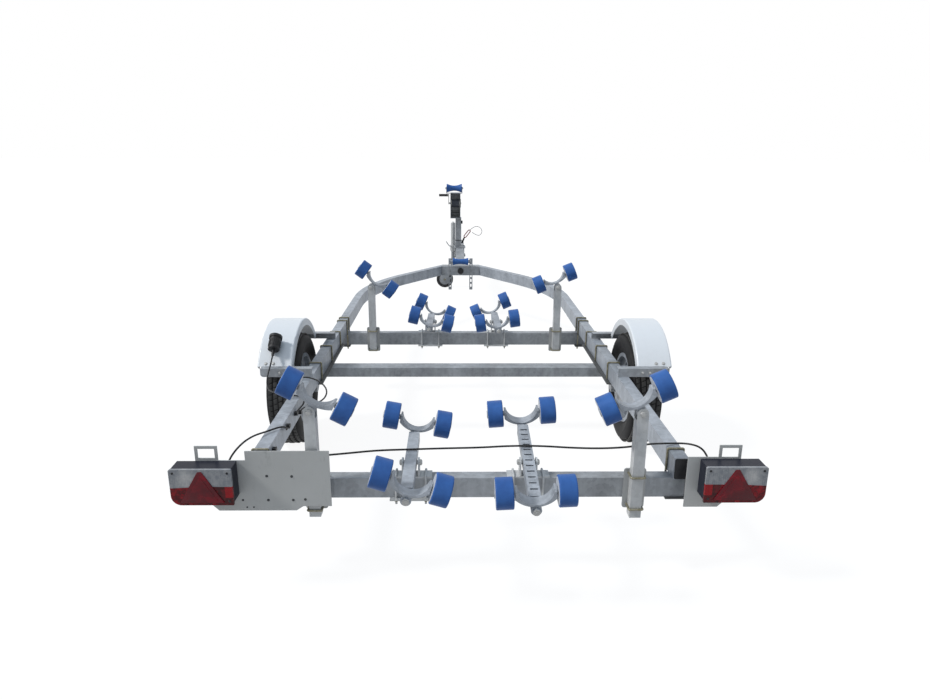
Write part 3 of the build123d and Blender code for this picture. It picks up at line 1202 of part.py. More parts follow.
CROSS_CABLE = (
    ahead(INNER_CLIP_X, 130 - CLIP_LENGTH / 2, 432),
    ahead(INNER_CLIP_X, 86, 432),
    ahead(-692, 56, 442),
    ahead(-636, 43, 447),
    ahead(-540, 38, 449),
    ahead(-440, 52, 452),
    ahead(-330, 70, 455.5),
    ahead(-206, 80, 454.6),
    ahead(-90, 83, 457),
    ahead(40, 84, 459),
    ahead(150, 88, 464),
    ahead(260, 86, 464.5),
    ahead(370, 72, 463),
    ahead(470, 46, 472),
    ahead(560, 24, 487),
    ahead(640, 40, 492),
    ahead(700, 84, 474),
    ahead(752, 108, 464),
    ahead(798, 88, 472),
    ahead(828, 44, 478),
    ahead(843, 14, 458),
    ahead(GLAND_X, -12, GLAND_Z),
    ahead(GLAND_X, LAMP_GLAND_AT, GLAND_Z),
)
LEFT_LAMP_CABLE = (
    ahead(-GLAND_X, LAMP_GLAND_AT, GLAND_Z),
    ahead(-GLAND_X, -12, GLAND_Z),
    ahead(-838, 26, 456),
    ahead(-818, 84, 476),
    ahead(-794, 150, 478),
    ahead(-762, 214, 467),
    ahead(-716, 252, 472),
    ahead(-698, 284, 452),
    ahead(INNER_CLIP_X, 308, 432),
    ahead(INNER_CLIP_X, 350 - CLIP_LENGTH / 2, 432),
)
RAIL_LOOP = (
    ahead(-RAIL_OUTER - CLIP_DEPTH / 2, 760 + CLIP_LENGTH / 2, 446),
    ahead(-RAIL_OUTER - CLIP_DEPTH / 2, 798, 446),
    ahead(-777, 820, 468),
    ahead(-746, 832, 474),
    ahead(-700, 822, 468),
    ahead(-656, 794, 454),
    ahead(-628, 750, 434),
    ahead(-634, 704, 414),
    ahead(-664, 664, 407),
    ahead(-696, 630, 407),
    ahead(INNER_CLIP_X, 600, 408),
    ahead(INNER_CLIP_X, 560 + CLIP_LENGTH / 2, 408),
)
PLUG_X = -907.0
PLUG_ANGLE = 51.0                 # of the plug's middle round the wheel, above its axis
plug_radius = GUARD_RADIUS + PLUG_CAP_RADIUS + 0.6
PLUG_CENTRE = Vector(
    PLUG_X,
    WHEEL_Y - plug_radius * cos(radians(PLUG_ANGLE)),
    TYRE_RADIUS + plug_radius * sin(radians(PLUG_ANGLE)),
)
PLUG_AXIS = Vector(0, sin(radians(PLUG_ANGLE)), cos(radians(PLUG_ANGLE)))
PLUG_TAIL = PLUG_CENTRE - PLUG_AXIS * (PLUG_LENGTH / 2 + GLAND_LENGTH)
PLUG_CABLE = (
    PLUG_TAIL,
    PLUG_TAIL - PLUG_AXIS * 30,
    ahead(-911, 858, 510),
    ahead(-917, 828, 477),
    ahead(-912, 792, 452),
    ahead(-892, 738, 446),
    ahead(-856, 684, 452),
    ahead(-808, 640, 462),
    ahead(-752, 606, 467),
    ahead(-704, 598, 465),
    ahead(-692, 560, 448),
    ahead(INNER_CLIP_X, 530, 430),
    ahead(INNER_CLIP_X, 490 + CLIP_LENGTH / 2, 430),
)

with BuildPart() as wiring_cables:
    for route_points in (CROSS_CABLE, LEFT_LAMP_CABLE, RAIL_LOOP, PLUG_CABLE):
        cord(route_points, CABLE_RADIUS)
save(wiring_cables, "wiring_cables")

Clip = namedtuple("Clip", "x ahead height")
CLIPS = (
    Clip(-RAIL_INNER, 130, 432),
    Clip(-RAIL_INNER, 350, 432),
    Clip(-RAIL_OUTER - CLIP_DEPTH, 760, 446),
    Clip(-RAIL_INNER, 560, 408),
    Clip(-RAIL_INNER, 490, 430),
)
with BuildPart() as cable_fittings:
    for clip in CLIPS:
        with BuildSketch(Plane.YZ.offset(clip.x)):
            with Locations((REAR + clip.ahead, clip.height)):
                Rectangle(CLIP_LENGTH, CLIP_DEPTH)
        extrude(amount=CLIP_DEPTH)
    for side in SIDES:
        with BuildSketch(Plane.XZ.offset(-REAR - PLATE_AT)):
            with Locations((side * GLAND_X, GLAND_Z)):
                Circle(GLAND_RADIUS)
        extrude(amount=-GLAND_LENGTH)
save(cable_fittings, "cable_fittings")

plug_plane = Plane(origin=PLUG_CENTRE, x_dir=(1, 0, 0), z_dir=PLUG_AXIS)
with BuildPart() as plug:
    with BuildSketch(plug_plane.offset(-PLUG_LENGTH / 2)):
        Circle(PLUG_RADIUS)
    extrude(amount=PLUG_LENGTH)
    with BuildSketch(plug_plane.offset(PLUG_LENGTH / 2)):
        Circle(PLUG_CAP_RADIUS)
    extrude(amount=PLUG_CAP_LENGTH)
    with BuildSketch(plug_plane.offset(-PLUG_LENGTH / 2)):
        Circle(GLAND_RADIUS)
    extrude(amount=-GLAND_LENGTH)
save(plug, "plug")

# ---------------------------------------------------------------- breakaway cable
BREAKAWAY_AT = WINCH_Y - REAR + 30
SLEEVE_RADIUS = 9.0
CLIP_RADIUS = 5.0
sleeve_foot = ahead(CAP_RIGHT + SLEEVE_RADIUS + 0.3, BREAKAWAY_AT, 500)
sleeve_top = ahead(50, BREAKAWAY_AT, 560)
clip_top = ahead(108, BREAKAWAY_AT + 6, 634)
BREAKAWAY_LOOP = (
    clip_top,
    ahead(138, BREAKAWAY_AT + 8, 662),
    ahead(180, BREAKAWAY_AT + 10, 676),
    ahead(222, BREAKAWAY_AT + 10, 660),
    ahead(240, BREAKAWAY_AT + 8, 618),
    ahead(216, BREAKAWAY_AT + 4, 578),
    ahead(172, BREAKAWAY_AT - 2, 584),
    ahead(132, BREAKAWAY_AT - 8, 612),
)

with BuildPart() as breakaway_cable:
    cord(BREAKAWAY_LOOP, WIRE_RADIUS)
    sleeve_run = sleeve_top - sleeve_foot
    with BuildSketch(Plane(origin=sleeve_foot, z_dir=sleeve_run)):
        Circle(SLEEVE_RADIUS)
    extrude(amount=sleeve_run.length)
    clip_run = clip_top - sleeve_top
    clip_plane = Plane(
        origin=(sleeve_top + clip_top) * 0.5, x_dir=clip_run,
        z_dir=clip_run.cross(Vector(0, 0, 1)),
    )
    with BuildSketch(clip_plane.offset(-CLIP_RADIUS)):
        SlotOverall(clip_run.length + 8, 34)
        SlotOverall(clip_run.length - 12, 14, mode=Mode.SUBTRACT)
    extrude(amount=2 * CLIP_RADIUS)
save(breakaway_cable, "breakaway_cable")
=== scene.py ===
"""Dresses a multi-roller boat trailer.

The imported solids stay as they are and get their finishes: galvanised and yellow-passivated
steel, blue rubber, black rubber, white and black plastic and the lamp lenses. The nuts,
bolt heads, end caps, treads, lens reflectors, rivets and cables are modelled here.
"""
from __future__ import annotations

import json
import logging
import math
from dataclasses import dataclass, field
from enum import Enum
from itertools import product
from typing import Any, Callable, Iterable, Mapping, Sequence, Union

import bpy
from mathutils import Matrix, Vector

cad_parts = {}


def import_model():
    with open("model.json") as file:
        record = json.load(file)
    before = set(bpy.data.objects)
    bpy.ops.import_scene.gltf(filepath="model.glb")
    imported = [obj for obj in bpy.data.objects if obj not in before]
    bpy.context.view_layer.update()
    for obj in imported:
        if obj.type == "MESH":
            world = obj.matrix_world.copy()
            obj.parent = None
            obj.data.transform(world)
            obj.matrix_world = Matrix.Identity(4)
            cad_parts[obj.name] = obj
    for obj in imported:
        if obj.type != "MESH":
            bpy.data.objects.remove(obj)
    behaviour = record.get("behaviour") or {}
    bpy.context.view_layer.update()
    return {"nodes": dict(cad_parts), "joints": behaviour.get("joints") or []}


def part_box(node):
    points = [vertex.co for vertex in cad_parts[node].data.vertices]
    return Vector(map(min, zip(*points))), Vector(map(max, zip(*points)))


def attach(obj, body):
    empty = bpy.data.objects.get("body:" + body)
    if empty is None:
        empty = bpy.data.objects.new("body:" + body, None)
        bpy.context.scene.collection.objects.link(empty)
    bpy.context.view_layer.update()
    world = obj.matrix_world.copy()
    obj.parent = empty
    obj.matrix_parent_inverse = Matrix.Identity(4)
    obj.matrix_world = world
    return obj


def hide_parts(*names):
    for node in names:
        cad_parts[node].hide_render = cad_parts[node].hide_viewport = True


LOG = logging.getLogger("trailer")
Number = Union[int, float]
Nodes = Mapping[str, bpy.types.Object]
Pair = tuple[float, float]
Triple = tuple[float, float, float]

RIGHT = Vector((1.0, 0.0, 0.0))
FORWARD = Vector((0.0, 1.0, 0.0))
UP = Vector((0.0, 0.0, 1.0))
SIDES = (-1, 1)
FRONT_AT = 1.947    # the front cross member's rear face ahead of the rear one's


# ---------------------------------------------------------------- shader maths
def maths(operation: str, swapped: bool = False) -> Callable[..., "Signal"]:
    """A method of Signal that adds one Math node.

    Args:
        operation: The node's operation.
        swapped: Whether the other value comes first.

    Returns:
        The method.
    """
    def method(self: "Signal", *others: Any) -> "Signal":
        """Adds the node and gives its result."""
        values = (*others, self) if swapped else (self, *others)
        return self.tree.node("ShaderNodeMath", {"operation": operation}, dict(enumerate(values)))

    return method


class Signal:
    """A socket of a node tree that joins in sums, so that maths reads as maths."""

    __add__ = __radd__ = maths("ADD")
    __sub__ = maths("SUBTRACT")
    __rsub__ = maths("SUBTRACT", swapped=True)
    __mul__ = __rmul__ = maths("MULTIPLY")
    __truediv__ = maths("DIVIDE")
    __pow__ = maths("POWER")
    __abs__ = maths("ABSOLUTE")
    __gt__ = maths("GREATER_THAN")
    __lt__ = maths("LESS_THAN")
    least = maths("MINIMUM")
    most = maths("MAXIMUM")
    sine = maths("SINE")

    def __init__(self, tree: "Tree", socket: bpy.types.NodeSocket) -> None:
        """Wraps one output.

        Args:
            tree: The tree that the socket belongs to.
            socket: The output socket.
        """
        self.tree = tree
        self.socket = socket

    def ramp(self, low: Number, high: Number, kind: str = "SMOOTHSTEP") -> "Signal":
        """A step from 0 to 1.

        Args:
            low: The value at which the result is 0.
            high: The value at which it is 1.
            kind: How it goes from one to the other.

        Returns:
            The step.
        """
        values = {"Value": self, "From Min": low, "From Max": high}
        return self.tree.node("ShaderNodeMapRange", {"interpolation_type": kind}, values)


class Tree:
    """The node tree of a material or of the world."""

    def __init__(self, owner: Union[bpy.types.Material, bpy.types.World]) -> None:
        """Starts a tree.

        Args:
            owner: The material or the world.
        """
        owner.use_nodes = True
        self.owner = owner
        self.nodes = owner.node_tree.nodes
        self.links = owner.node_tree.links
        self.shader = self.nodes.get("Principled BSDF")

    def node(
        self, kind: str, settings: Mapping[str, Any], values: Mapping[Any, Any], output: Any = 0
    ) -> Signal:
        """Adds a node.

        Args:
            kind: The node's type.
            settings: Properties to set before its sockets are filled.
            values: A value or a link for each named or numbered input.
            output: The output that is wanted.

        Returns:
            That output.
        """
        made = self.nodes.new(kind)
        for key, value in settings.items():
            setattr(made, key, value)
        for key, value in values.items():
            self._fill(made.inputs[key], value)
        return Signal(self, made.outputs[output])

    def _fill(self, socket: bpy.types.NodeSocket, value: Any) -> None:
        """Links or sets one input socket."""
        if isinstance(value, Signal):
            self.links.new(value.socket, socket)
        else:
            socket.default_value = value

    def set(self, **values: Any) -> None:
        """Fills inputs of the Principled shader; an underscore stands for a space."""
        for key, value in values.items():
            self._fill(self.shader.inputs[key.replace("_", " ")], value)

    def place(self) -> Signal:
        """Object coordinates."""
        return self.node("ShaderNodeTexCoord", {}, {}, "Object")

    def axes(self, vector: Signal) -> tuple[Signal, Signal, Signal]:
        """The X, Y and Z of a vector."""
        split = self.nodes.new("ShaderNodeSeparateXYZ")
        self.links.new(vector.socket, split.inputs[0])
        return tuple(Signal(self, socket) for socket in split.outputs)

    def noise(self, vector: Signal, scale: float, detail: float = 3.0, rough: float = 0.55) -> Signal:
        """Noise of about a cell per 1/scale metres."""
        return self.node(
            "ShaderNodeTexNoise", {},
            {"Vector": vector, "Scale": scale, "Detail": detail, "Roughness": rough},
        )

    def stretched(self, vector: Signal, scale: Triple) -> Signal:
        """A vector with each of its axes scaled."""
        return self.node("ShaderNodeMapping", {}, {"Vector": vector, "Scale": scale})

    def mix(self, share: Any, first: Any, second: Any) -> Signal:
        """A blend of two colours.

        Args:
            share: How much of the second, from 0 to 1.
            first: The first colour.
            second: The second colour.

        Returns:
            The blend.
        """
        made = self.nodes.new("ShaderNodeMix")
        made.data_type = "RGBA"
        self._fill(made.inputs[0], share)
        for socket, value in ((made.inputs[6], first), (made.inputs[7], second)):
            self._fill(socket, value if isinstance(value, Signal) else (*value, 1.0))
        return Signal(self, made.outputs[2])

    def bump(self, height: Signal, strength: float, distance: float) -> Signal:
        """A Bump node's normal."""
        return self.node(
            "ShaderNodeBump", {},
            {"Height": height, "Strength": strength, "Distance": distance}, "Normal",
        )

    def direct(self) -> Signal:
        """1 for the camera's rays and for glossy and transmission rays."""
        rays = self.nodes.new("ShaderNodeLightPath")
        camera, glossy, through = (
            Signal(self, rays.outputs[f"Is {kind} Ray"]) for kind in ("Camera", "Glossy", "Transmission")
        )
        return camera.most(glossy).most(through)

    def blend(self, share: Signal, first: Signal, second: Signal) -> Signal:
        """A mix of two shaders, by how much of the second."""
        return self.node("ShaderNodeMixShader", {}, {0: share, 1: first, 2: second})

    def surface(self, shader: Signal) -> None:
        """Links a shader to the tree's output."""
        output = next(node for node in self.nodes if node.type.startswith("OUTPUT"))
        self.links.new(shader.socket, output.inputs["Surface"])


class Finish:
    """A finish that makes one material and keeps it for every piece that wears it."""

    name: str

    def paint(self, tree: Tree) -> None:
        """Fills the tree. Each finish has its own."""
        raise NotImplementedError

    def material(self) -> bpy.types.Material:
        """The finish's material, made on first use."""
        found = bpy.data.materials.get(self.name)
        if found is None:
            found = bpy.data.materials.new(self.name)
            self.paint(Tree(found))
        return found


@dataclass(frozen=True)
class Galvanised(Finish):
    """Hot-dip galvanised steel: spangle, dull cloudy patches and run marks."""

    name: str = "galvanised"
    dark: Triple = (0.19, 0.198, 0.205)
    light: Triple = (0.46, 0.475, 0.49)
    spangle: float = 75.0
    metal: float = 0.15

    def paint(self, tree: Tree) -> None:
        """Spangle cells over clouds, with the roughness following both."""
        place = tree.place()
        cells = tree.node(
            "ShaderNodeTexVoronoi", {"feature": "F1"},
            {"Vector": place, "Scale": self.spangle, "Randomness": 1.0}, "Color",
        )
        grain = tree.axes(cells)[0]
        cloud = tree.noise(place, 5.0, 5.0, 0.6)
        run = tree.noise(tree.stretched(place, (28.0, 28.0, 5.0)), 1.0, 3.0)
        fine = tree.noise(place, 420.0, 2.0)
        tone = cloud.ramp(0.3, 0.7) * 0.45 + grain * 0.3 + run.ramp(0.35, 0.7) * 0.25
        tree.set(
            Base_Color=tree.mix(tone, self.dark, self.light),
            Metallic=self.metal,
            Roughness=0.36 + cloud * 0.18 + grain * 0.12,
            Normal=tree.bump(fine * 0.3 + grain * 0.25 + run * 0.9, 0.25, 0.0006),
        )


@dataclass(frozen=True)
class Passivated(Finish):
    """Passivated zinc on U-bolts and nuts: olive and straw patches, whiter where worn."""

    name: str = "yellow_zinc"

    def straw(self, tree: Tree, place: Signal) -> Signal:
        """The passivated colour.

        Args:
            tree: The tree to add to.
            place: Object coordinates.

        Returns:
            The colour.
        """
        patch = tree.noise(place, 60.0, 3.0).ramp(0.35, 0.65)
        wear = tree.noise(place, 190.0, 4.0).ramp(0.52, 0.72)
        straw = tree.mix(patch, (0.17, 0.155, 0.095), (0.27, 0.25, 0.18))
        return tree.mix(wear * 0.5, straw, (0.40, 0.40, 0.37))

    def paint(self, tree: Tree) -> None:
        """The colour with a roughness that follows a slow noise."""
        place = tree.place()
        tree.set(
            Base_Color=self.straw(tree, place),
            Metallic=0.45,
            Roughness=0.38 + tree.noise(place, 60.0, 3.0) * 0.15,
            Normal=tree.bump(tree.noise(place, 700.0), 0.15, 0.0003),
        )


@dataclass(frozen=True)
class ClampFinish(Passivated):
    """Passivated U-bolts with their plate in another steel, told apart by place."""

    name: str = "clamp_finish"
    axis: int = 2
    bands: tuple[Pair, ...] = ()
    plate: Triple = (0.4, 0.4, 0.4)

    def paint(self, tree: Tree) -> None:
        """The plate's colour within the bands and the U-bolts' colour elsewhere."""
        place = tree.place()
        along = tree.axes(place)[self.axis]
        flat = sum((along > low) * (along < high) for low, high in self.bands)
        cloud = tree.noise(place, 30.0, 4.0, 0.6)
        dim = tuple(channel * 0.65 for channel in self.plate)
        steel = tree.mix(cloud, dim, self.plate)
        tree.set(
            Base_Color=tree.mix(flat, self.straw(tree, place), steel),
            Metallic=0.35,
            Roughness=0.40 + cloud * 0.15,
            Normal=tree.bump(tree.noise(place, 700.0), 0.15, 0.0003),
        )


@dataclass(frozen=True)
class BlueRubber(Finish):
    """Blue moulded rubber with faint turning marks and scuffs."""

    name: str = "roller_blue"

    def paint(self, tree: Tree) -> None:
        """Two blues, lighter where it is scuffed."""
        place = tree.place()
        cloud = tree.noise(place, 22.0, 4.0)
        scuff = tree.noise(tree.stretched(place, (90.0, 30.0, 90.0)), 1.0, 5.0, 0.7).ramp(0.58, 0.78)
        body = tree.mix(cloud, (0.028, 0.078, 0.25), (0.058, 0.180, 0.50))
        tree.set(
            Base_Color=tree.mix(scuff * 0.25, body, (0.090, 0.210, 0.46)),
            Roughness=0.40 + scuff * 0.25 + cloud * 0.08,
            Specular_IOR_Level=0.18,
            Normal=tree.bump(tree.noise(place, 900.0) * 0.5 + cloud, 0.12, 0.0004),
        )


@dataclass(frozen=True)
class Moulded(Finish):
    """A moulded plastic or rubber of one colour with grain and dust."""

    name: str = "moulded_black"
    colour: Triple = (0.018, 0.018, 0.020)
    dust: Triple = (0.09, 0.088, 0.082)
    amount: float = 0.3
    gloss: float = 0.45
    grain: float = 650.0
    shine: float = 0.25

    def paint(self, tree: Tree) -> None:
        """Dust in the noise's upper part and a fine grain."""
        place = tree.place()
        film = tree.noise(place, 14.0, 6.0, 0.65).ramp(0.42, 0.75)
        grain = tree.noise(place, self.grain, 2.0)
        tree.set(
            Base_Color=tree.mix(film * self.amount, self.colour, self.dust),
            Specular_IOR_Level=self.shine,
            Roughness=self.gloss + film * 0.2,
            Normal=tree.bump(grain, 0.18, 0.0005),
        )


@dataclass(frozen=True)
class GuardPlastic(Finish):
    """White moulded plastic: slightly yellowed dirt low down, scratches and a soft sheen."""

    name: str = "guard_white"
    dirty_below: float = 0.45

    def paint(self, tree: Tree) -> None:
        """White with grime towards the lower ends."""
        place = tree.place()
        height = tree.axes(place)[2]
        low = 1.0 - height.ramp(self.dirty_below - 0.10, self.dirty_below + 0.12)
        spots = tree.noise(place, 35.0, 6.0, 0.7).ramp(0.45, 0.75)
        scratch = tree.noise(tree.stretched(place, (12.0, 160.0, 160.0)), 1.0, 2.0).ramp(0.62, 0.70)
        tree.set(
            Base_Color=tree.mix(spots * (low * 0.4 + 0.05), (0.80, 0.81, 0.81), (0.46, 0.44, 0.39)),
            Roughness=0.33 + spots * 0.12 + scratch * 0.15,
            Coat_Weight=0.15,
            Coat_Roughness=0.25,
            Normal=tree.bump(tree.noise(place, 300.0) * 0.4 + scratch * -0.5, 0.10, 0.0005),
        )


@dataclass(frozen=True)
class BoardMetal(Finish):
    """Dull mill-finish sheet of the lamp plates, with smudges and dents."""

    name: str = "plate_sheet"

    def paint(self, tree: Tree) -> None:
        """Warm grey, darker in smudges."""
        place = tree.place()
        cloud = tree.noise(place, 7.0, 5.0, 0.6)
        smudge = tree.noise(tree.stretched(place, (26.0, 26.0, 11.0)), 1.0, 6.0, 0.7).ramp(0.56, 0.76)
        height = tree.axes(place)[2]
        body = tree.mix(cloud, (0.42, 0.42, 0.40), (0.53, 0.53, 0.51))
        dirt = smudge * (0.35 + height.ramp(0.42, 0.50) * 0.45)
        tree.set(
            Base_Color=tree.mix(dirt, body, (0.22, 0.22, 0.21)),
            Metallic=0.15,
            Roughness=0.50 + cloud * 0.12,
            Normal=tree.bump(cloud + tree.noise(place, 500.0) * 0.1, 0.2, 0.0008),
        )


@dataclass(frozen=True)
class TyreRubber(Finish):
    """Black tyre rubber: dusty tread, sidewall rings and fine moulding marks."""

    axis_y: float
    name: str = "tyre_rubber"
    axis_z: float = 0.289
    track_half: float = 0.890

    def paint(self, tree: Tree) -> None:
        """Concentric sidewall rings by radius round the wheel's axis."""
        place = tree.place()
        x, y, z = tree.axes(place)
        radius = ((y - self.axis_y) ** 2 + (z - self.axis_z) ** 2) ** 0.5
        rings = (radius * 900.0).sine() * (radius > 0.19) * (radius < 0.235)
        dust = tree.noise(place, 18.0, 6.0, 0.7).ramp(0.4, 0.75)
        level = radius + ((abs(x) - self.track_half) / 0.0625) ** 2 * 0.009
        tread = level.ramp(0.2850, 0.2875)
        film = dust * 0.25 + tread * 0.45
        tree.set(
            Base_Color=tree.mix(film, (0.007, 0.007, 0.008), (0.110, 0.107, 0.100)),
            Specular_IOR_Level=0.25,
            Roughness=0.62 + dust * 0.2,
            Normal=tree.bump(rings * 0.5 + tree.noise(place, 400.0), 0.25, 0.0008),
        )


class LampSide(Enum):
    """Which rear lamp."""

    LEFT = -1
    RIGHT = 1


@dataclass(frozen=True)
class LampBody(Finish):
    """A combination lamp: dark housing, red lower lens and clear upper lens, with a painted reflection
    in the clear lens and painted shade on the red lens's inner part.
    """

    lens_back: float
    name: str = "lamp_body"
    left_waist: float = 0.420
    right_waist: float = 0.424
    middle: float = 0.891

    def paint(self, tree: Tree) -> None:
        """Housing or lens by depth, red or clear by height, and the optics as bump."""
        place = tree.place()
        x, y, z = tree.axes(place)
        across = abs(x) - self.middle
        lens = y < self.lens_back
        waist = (x > 0.0) * (self.right_waist - self.left_waist) + self.left_waist
        rise = z - waist
        slope = across.most(0.0) * 0.05
        upper = (rise + slope).ramp(-0.0008, 0.0008)
        facets = (across * 1500.0).sine() * (z * 1500.0).sine()
        flutes = (across * 900.0).sine()
        murk = tree.noise(place, 60.0, 4.0, 0.7).ramp(0.36, 0.66)
        # painted reflection: a bright spot in the clear upper lens, over the reflector behind it, fading
        # out from its middle
        painted_gleam = 1.0 - ((across - 0.050) ** 2 + (rise - 0.028) ** 2) ** 0.5 * 26.0
        glow = painted_gleam.most(0.0).least(1.0)
        red = tree.mix(murk, (0.075, 0.004, 0.007), (0.330, 0.008, 0.015))
        bright = (across < -0.078) * (rise > -0.040)
        red = tree.mix(bright * 0.7, red, (0.40, 0.010, 0.014))
        # painted shade: the inner part of the red lens, outside the brighter reflector, is darkened
        shade = (across < -0.052) * (1.0 - bright)
        red = tree.mix(shade * 0.6, red, (0.030, 0.010, 0.010))
        clear = tree.mix(glow * 0.7 + murk * 0.3, (0.25, 0.255, 0.265), (0.62, 0.59, 0.55))
        glass = tree.mix(upper, red, clear)
        tree.set(
            Base_Color=tree.mix(lens, (0.013, 0.015, 0.026), glass),
            Specular_IOR_Level=0.18,
            Roughness=0.42 - lens * 0.22,
            Normal=tree.bump(
                lens * (facets * (1.0 - upper) * 0.5 + flutes * upper * 0.5)
                + tree.noise(place, 500.0) * 0.1,
                0.25, 0.0010,
            ),
        )


@dataclass(frozen=True)
class WinchFinish(Finish):
    """The winch drum: dark webbing on the roll, zinc flanges and crank, black grip."""

    centre: Triple
    name: str = "winch_drum_finish"
    roll: float = 0.0405
    half: float = 0.039
    grip_from: float = -0.124

    def paint(self, tree: Tree) -> None:
        """Webbing by radius and place across the drum, grip by place outward."""
        place = tree.place()
        x, y, z = tree.axes(place)
        radius = ((y - self.centre[1]) ** 2 + (z - self.centre[2]) ** 2) ** 0.5
        webbing = (radius < self.roll) * (abs(x - self.centre[0]) < self.half)
        grip = x < self.grip_from
        weave = (x * 3800.0).sine() * (radius * 2400.0).sine()
        cloud = tree.noise(place, 40.0, 4.0)
        zinc = tree.mix(cloud, (0.30, 0.30, 0.29), (0.48, 0.48, 0.46))
        body = tree.mix(webbing, zinc, (0.055, 0.060, 0.075))
        tree.set(
            Base_Color=tree.mix(grip, body, (0.014, 0.014, 0.015)),
            Metallic=(1.0 - webbing.most(grip)) * 0.6,
            Roughness=0.38 + webbing * 0.4 + grip * 0.12,
            Normal=tree.bump(weave * webbing + cloud * 0.2, 0.3, 0.0006),
        )


@dataclass(frozen=True)
class Paper(Finish):
    """The pale floor, which shows almost white to the camera but keeps faint shadows."""

    name: str = "pale_floor"
    shadow_share: float = 0.28
    glow: float = 1.28

    def paint(self, tree: Tree) -> None:
        """A matt surface whose own light hides all but a share of the shadows."""
        cloud = tree.noise(tree.place(), 0.6, 2.0)
        tree.set(
            Base_Color=tree.mix(cloud, (0.39, 0.39, 0.395), (0.41, 0.41, 0.41)),
            Roughness=0.9,
        )
        glow = tree.node("ShaderNodeEmission", {}, {"Strength": self.glow})
        matt = Signal(tree, tree.shader.outputs[0])
        tree.surface(tree.blend(tree.direct() * (1.0 - self.shadow_share), matt, glow))


GALVANISED = Galvanised()
GALVANISED_PALE = Galvanised("galvanised_pale", (0.44, 0.44, 0.43), (0.70, 0.70, 0.685), 60.0, 0.1)
# the blue cast of these colours is a painted reflection of the blue sky; the grey tone under it is the
# steel's own
GALVANISED_BRIGHT = Galvanised("galvanised_bright", (0.22, 0.24, 0.265), (0.50, 0.53, 0.57), 90.0, 0.35)
BOLT_STEEL = Galvanised("bolt_steel", (0.36, 0.36, 0.35), (0.56, 0.56, 0.54), 120.0, 0.4)
YELLOW_ZINC = Passivated()
BLUE = BlueRubber()
BLACK = Moulded()
SOFT_BLACK = Moulded("black_sheath", (0.014, 0.014, 0.015), (0.06, 0.06, 0.06), 0.25, 0.40, 900.0)
HUB_PLASTIC = Moulded("hub_plastic", (0.56, 0.58, 0.62), (0.40, 0.41, 0.43), 0.5, 0.42, 500.0)
RED_PLASTIC = Moulded("red_plastic", (0.30, 0.020, 0.018), (0.42, 0.10, 0.09), 0.3, 0.35, 500.0)
LENS_RED = Moulded("lens_red", (0.110, 0.002, 0.008), (0.330, 0.006, 0.018), 0.8, 0.2, 260.0)
CLAMP_DARK = Moulded("clamp_plate", (0.060, 0.062, 0.062), (0.13, 0.125, 0.115), 0.5, 0.55, 300.0)
SHADOW_GAP = Moulded("shadow_gap", (0.02, 0.021, 0.023), (0.05, 0.05, 0.05), 0.4, 0.6, 300.0)
JOCKEY_RUBBER = Moulded("jockey_rubber", (0.022, 0.022, 0.023), (0.10, 0.096, 0.09), 0.4, 0.6)
CLAMP_PLATE: Triple = (0.085, 0.088, 0.088)
POST_PLATE: Triple = (0.42, 0.43, 0.43)
CLAMP_BANDS: tuple[Pair, ...] = ((0.2985, 0.3053), (0.3735, 0.3803))
POST_BAND: Pair = (0.0063, 0.0003)


# ---------------------------------------------------------------- modelling
def stand(point: Sequence[float], direction: Sequence[float], spin: float = 0.0) -> Matrix:
    """The place of a piece that was modelled standing on the origin along Z.

    Args:
        point: Where its foot goes.
        direction: Where its Z points.
        spin: A turn about its own Z, in radians.

    Returns:
        The matrix that puts it there.
    """
    turn = Vector((0, 0, 1)).rotation_difference(Vector(direction).normalized()).to_matrix().to_4x4()
    return Matrix.Translation(Vector(point)) @ turn @ Matrix.Rotation(spin, 4, "Z")


def upright(point: Vector) -> Matrix:
    """The place of a flat piece whose Y goes up and whose Z faces rearward."""
    turn = Matrix(((1, 0, 0, 0), (0, 0, -1, 0), (0, 1, 0, 0), (0, 0, 0, 1)))
    return Matrix.Translation(point) @ turn


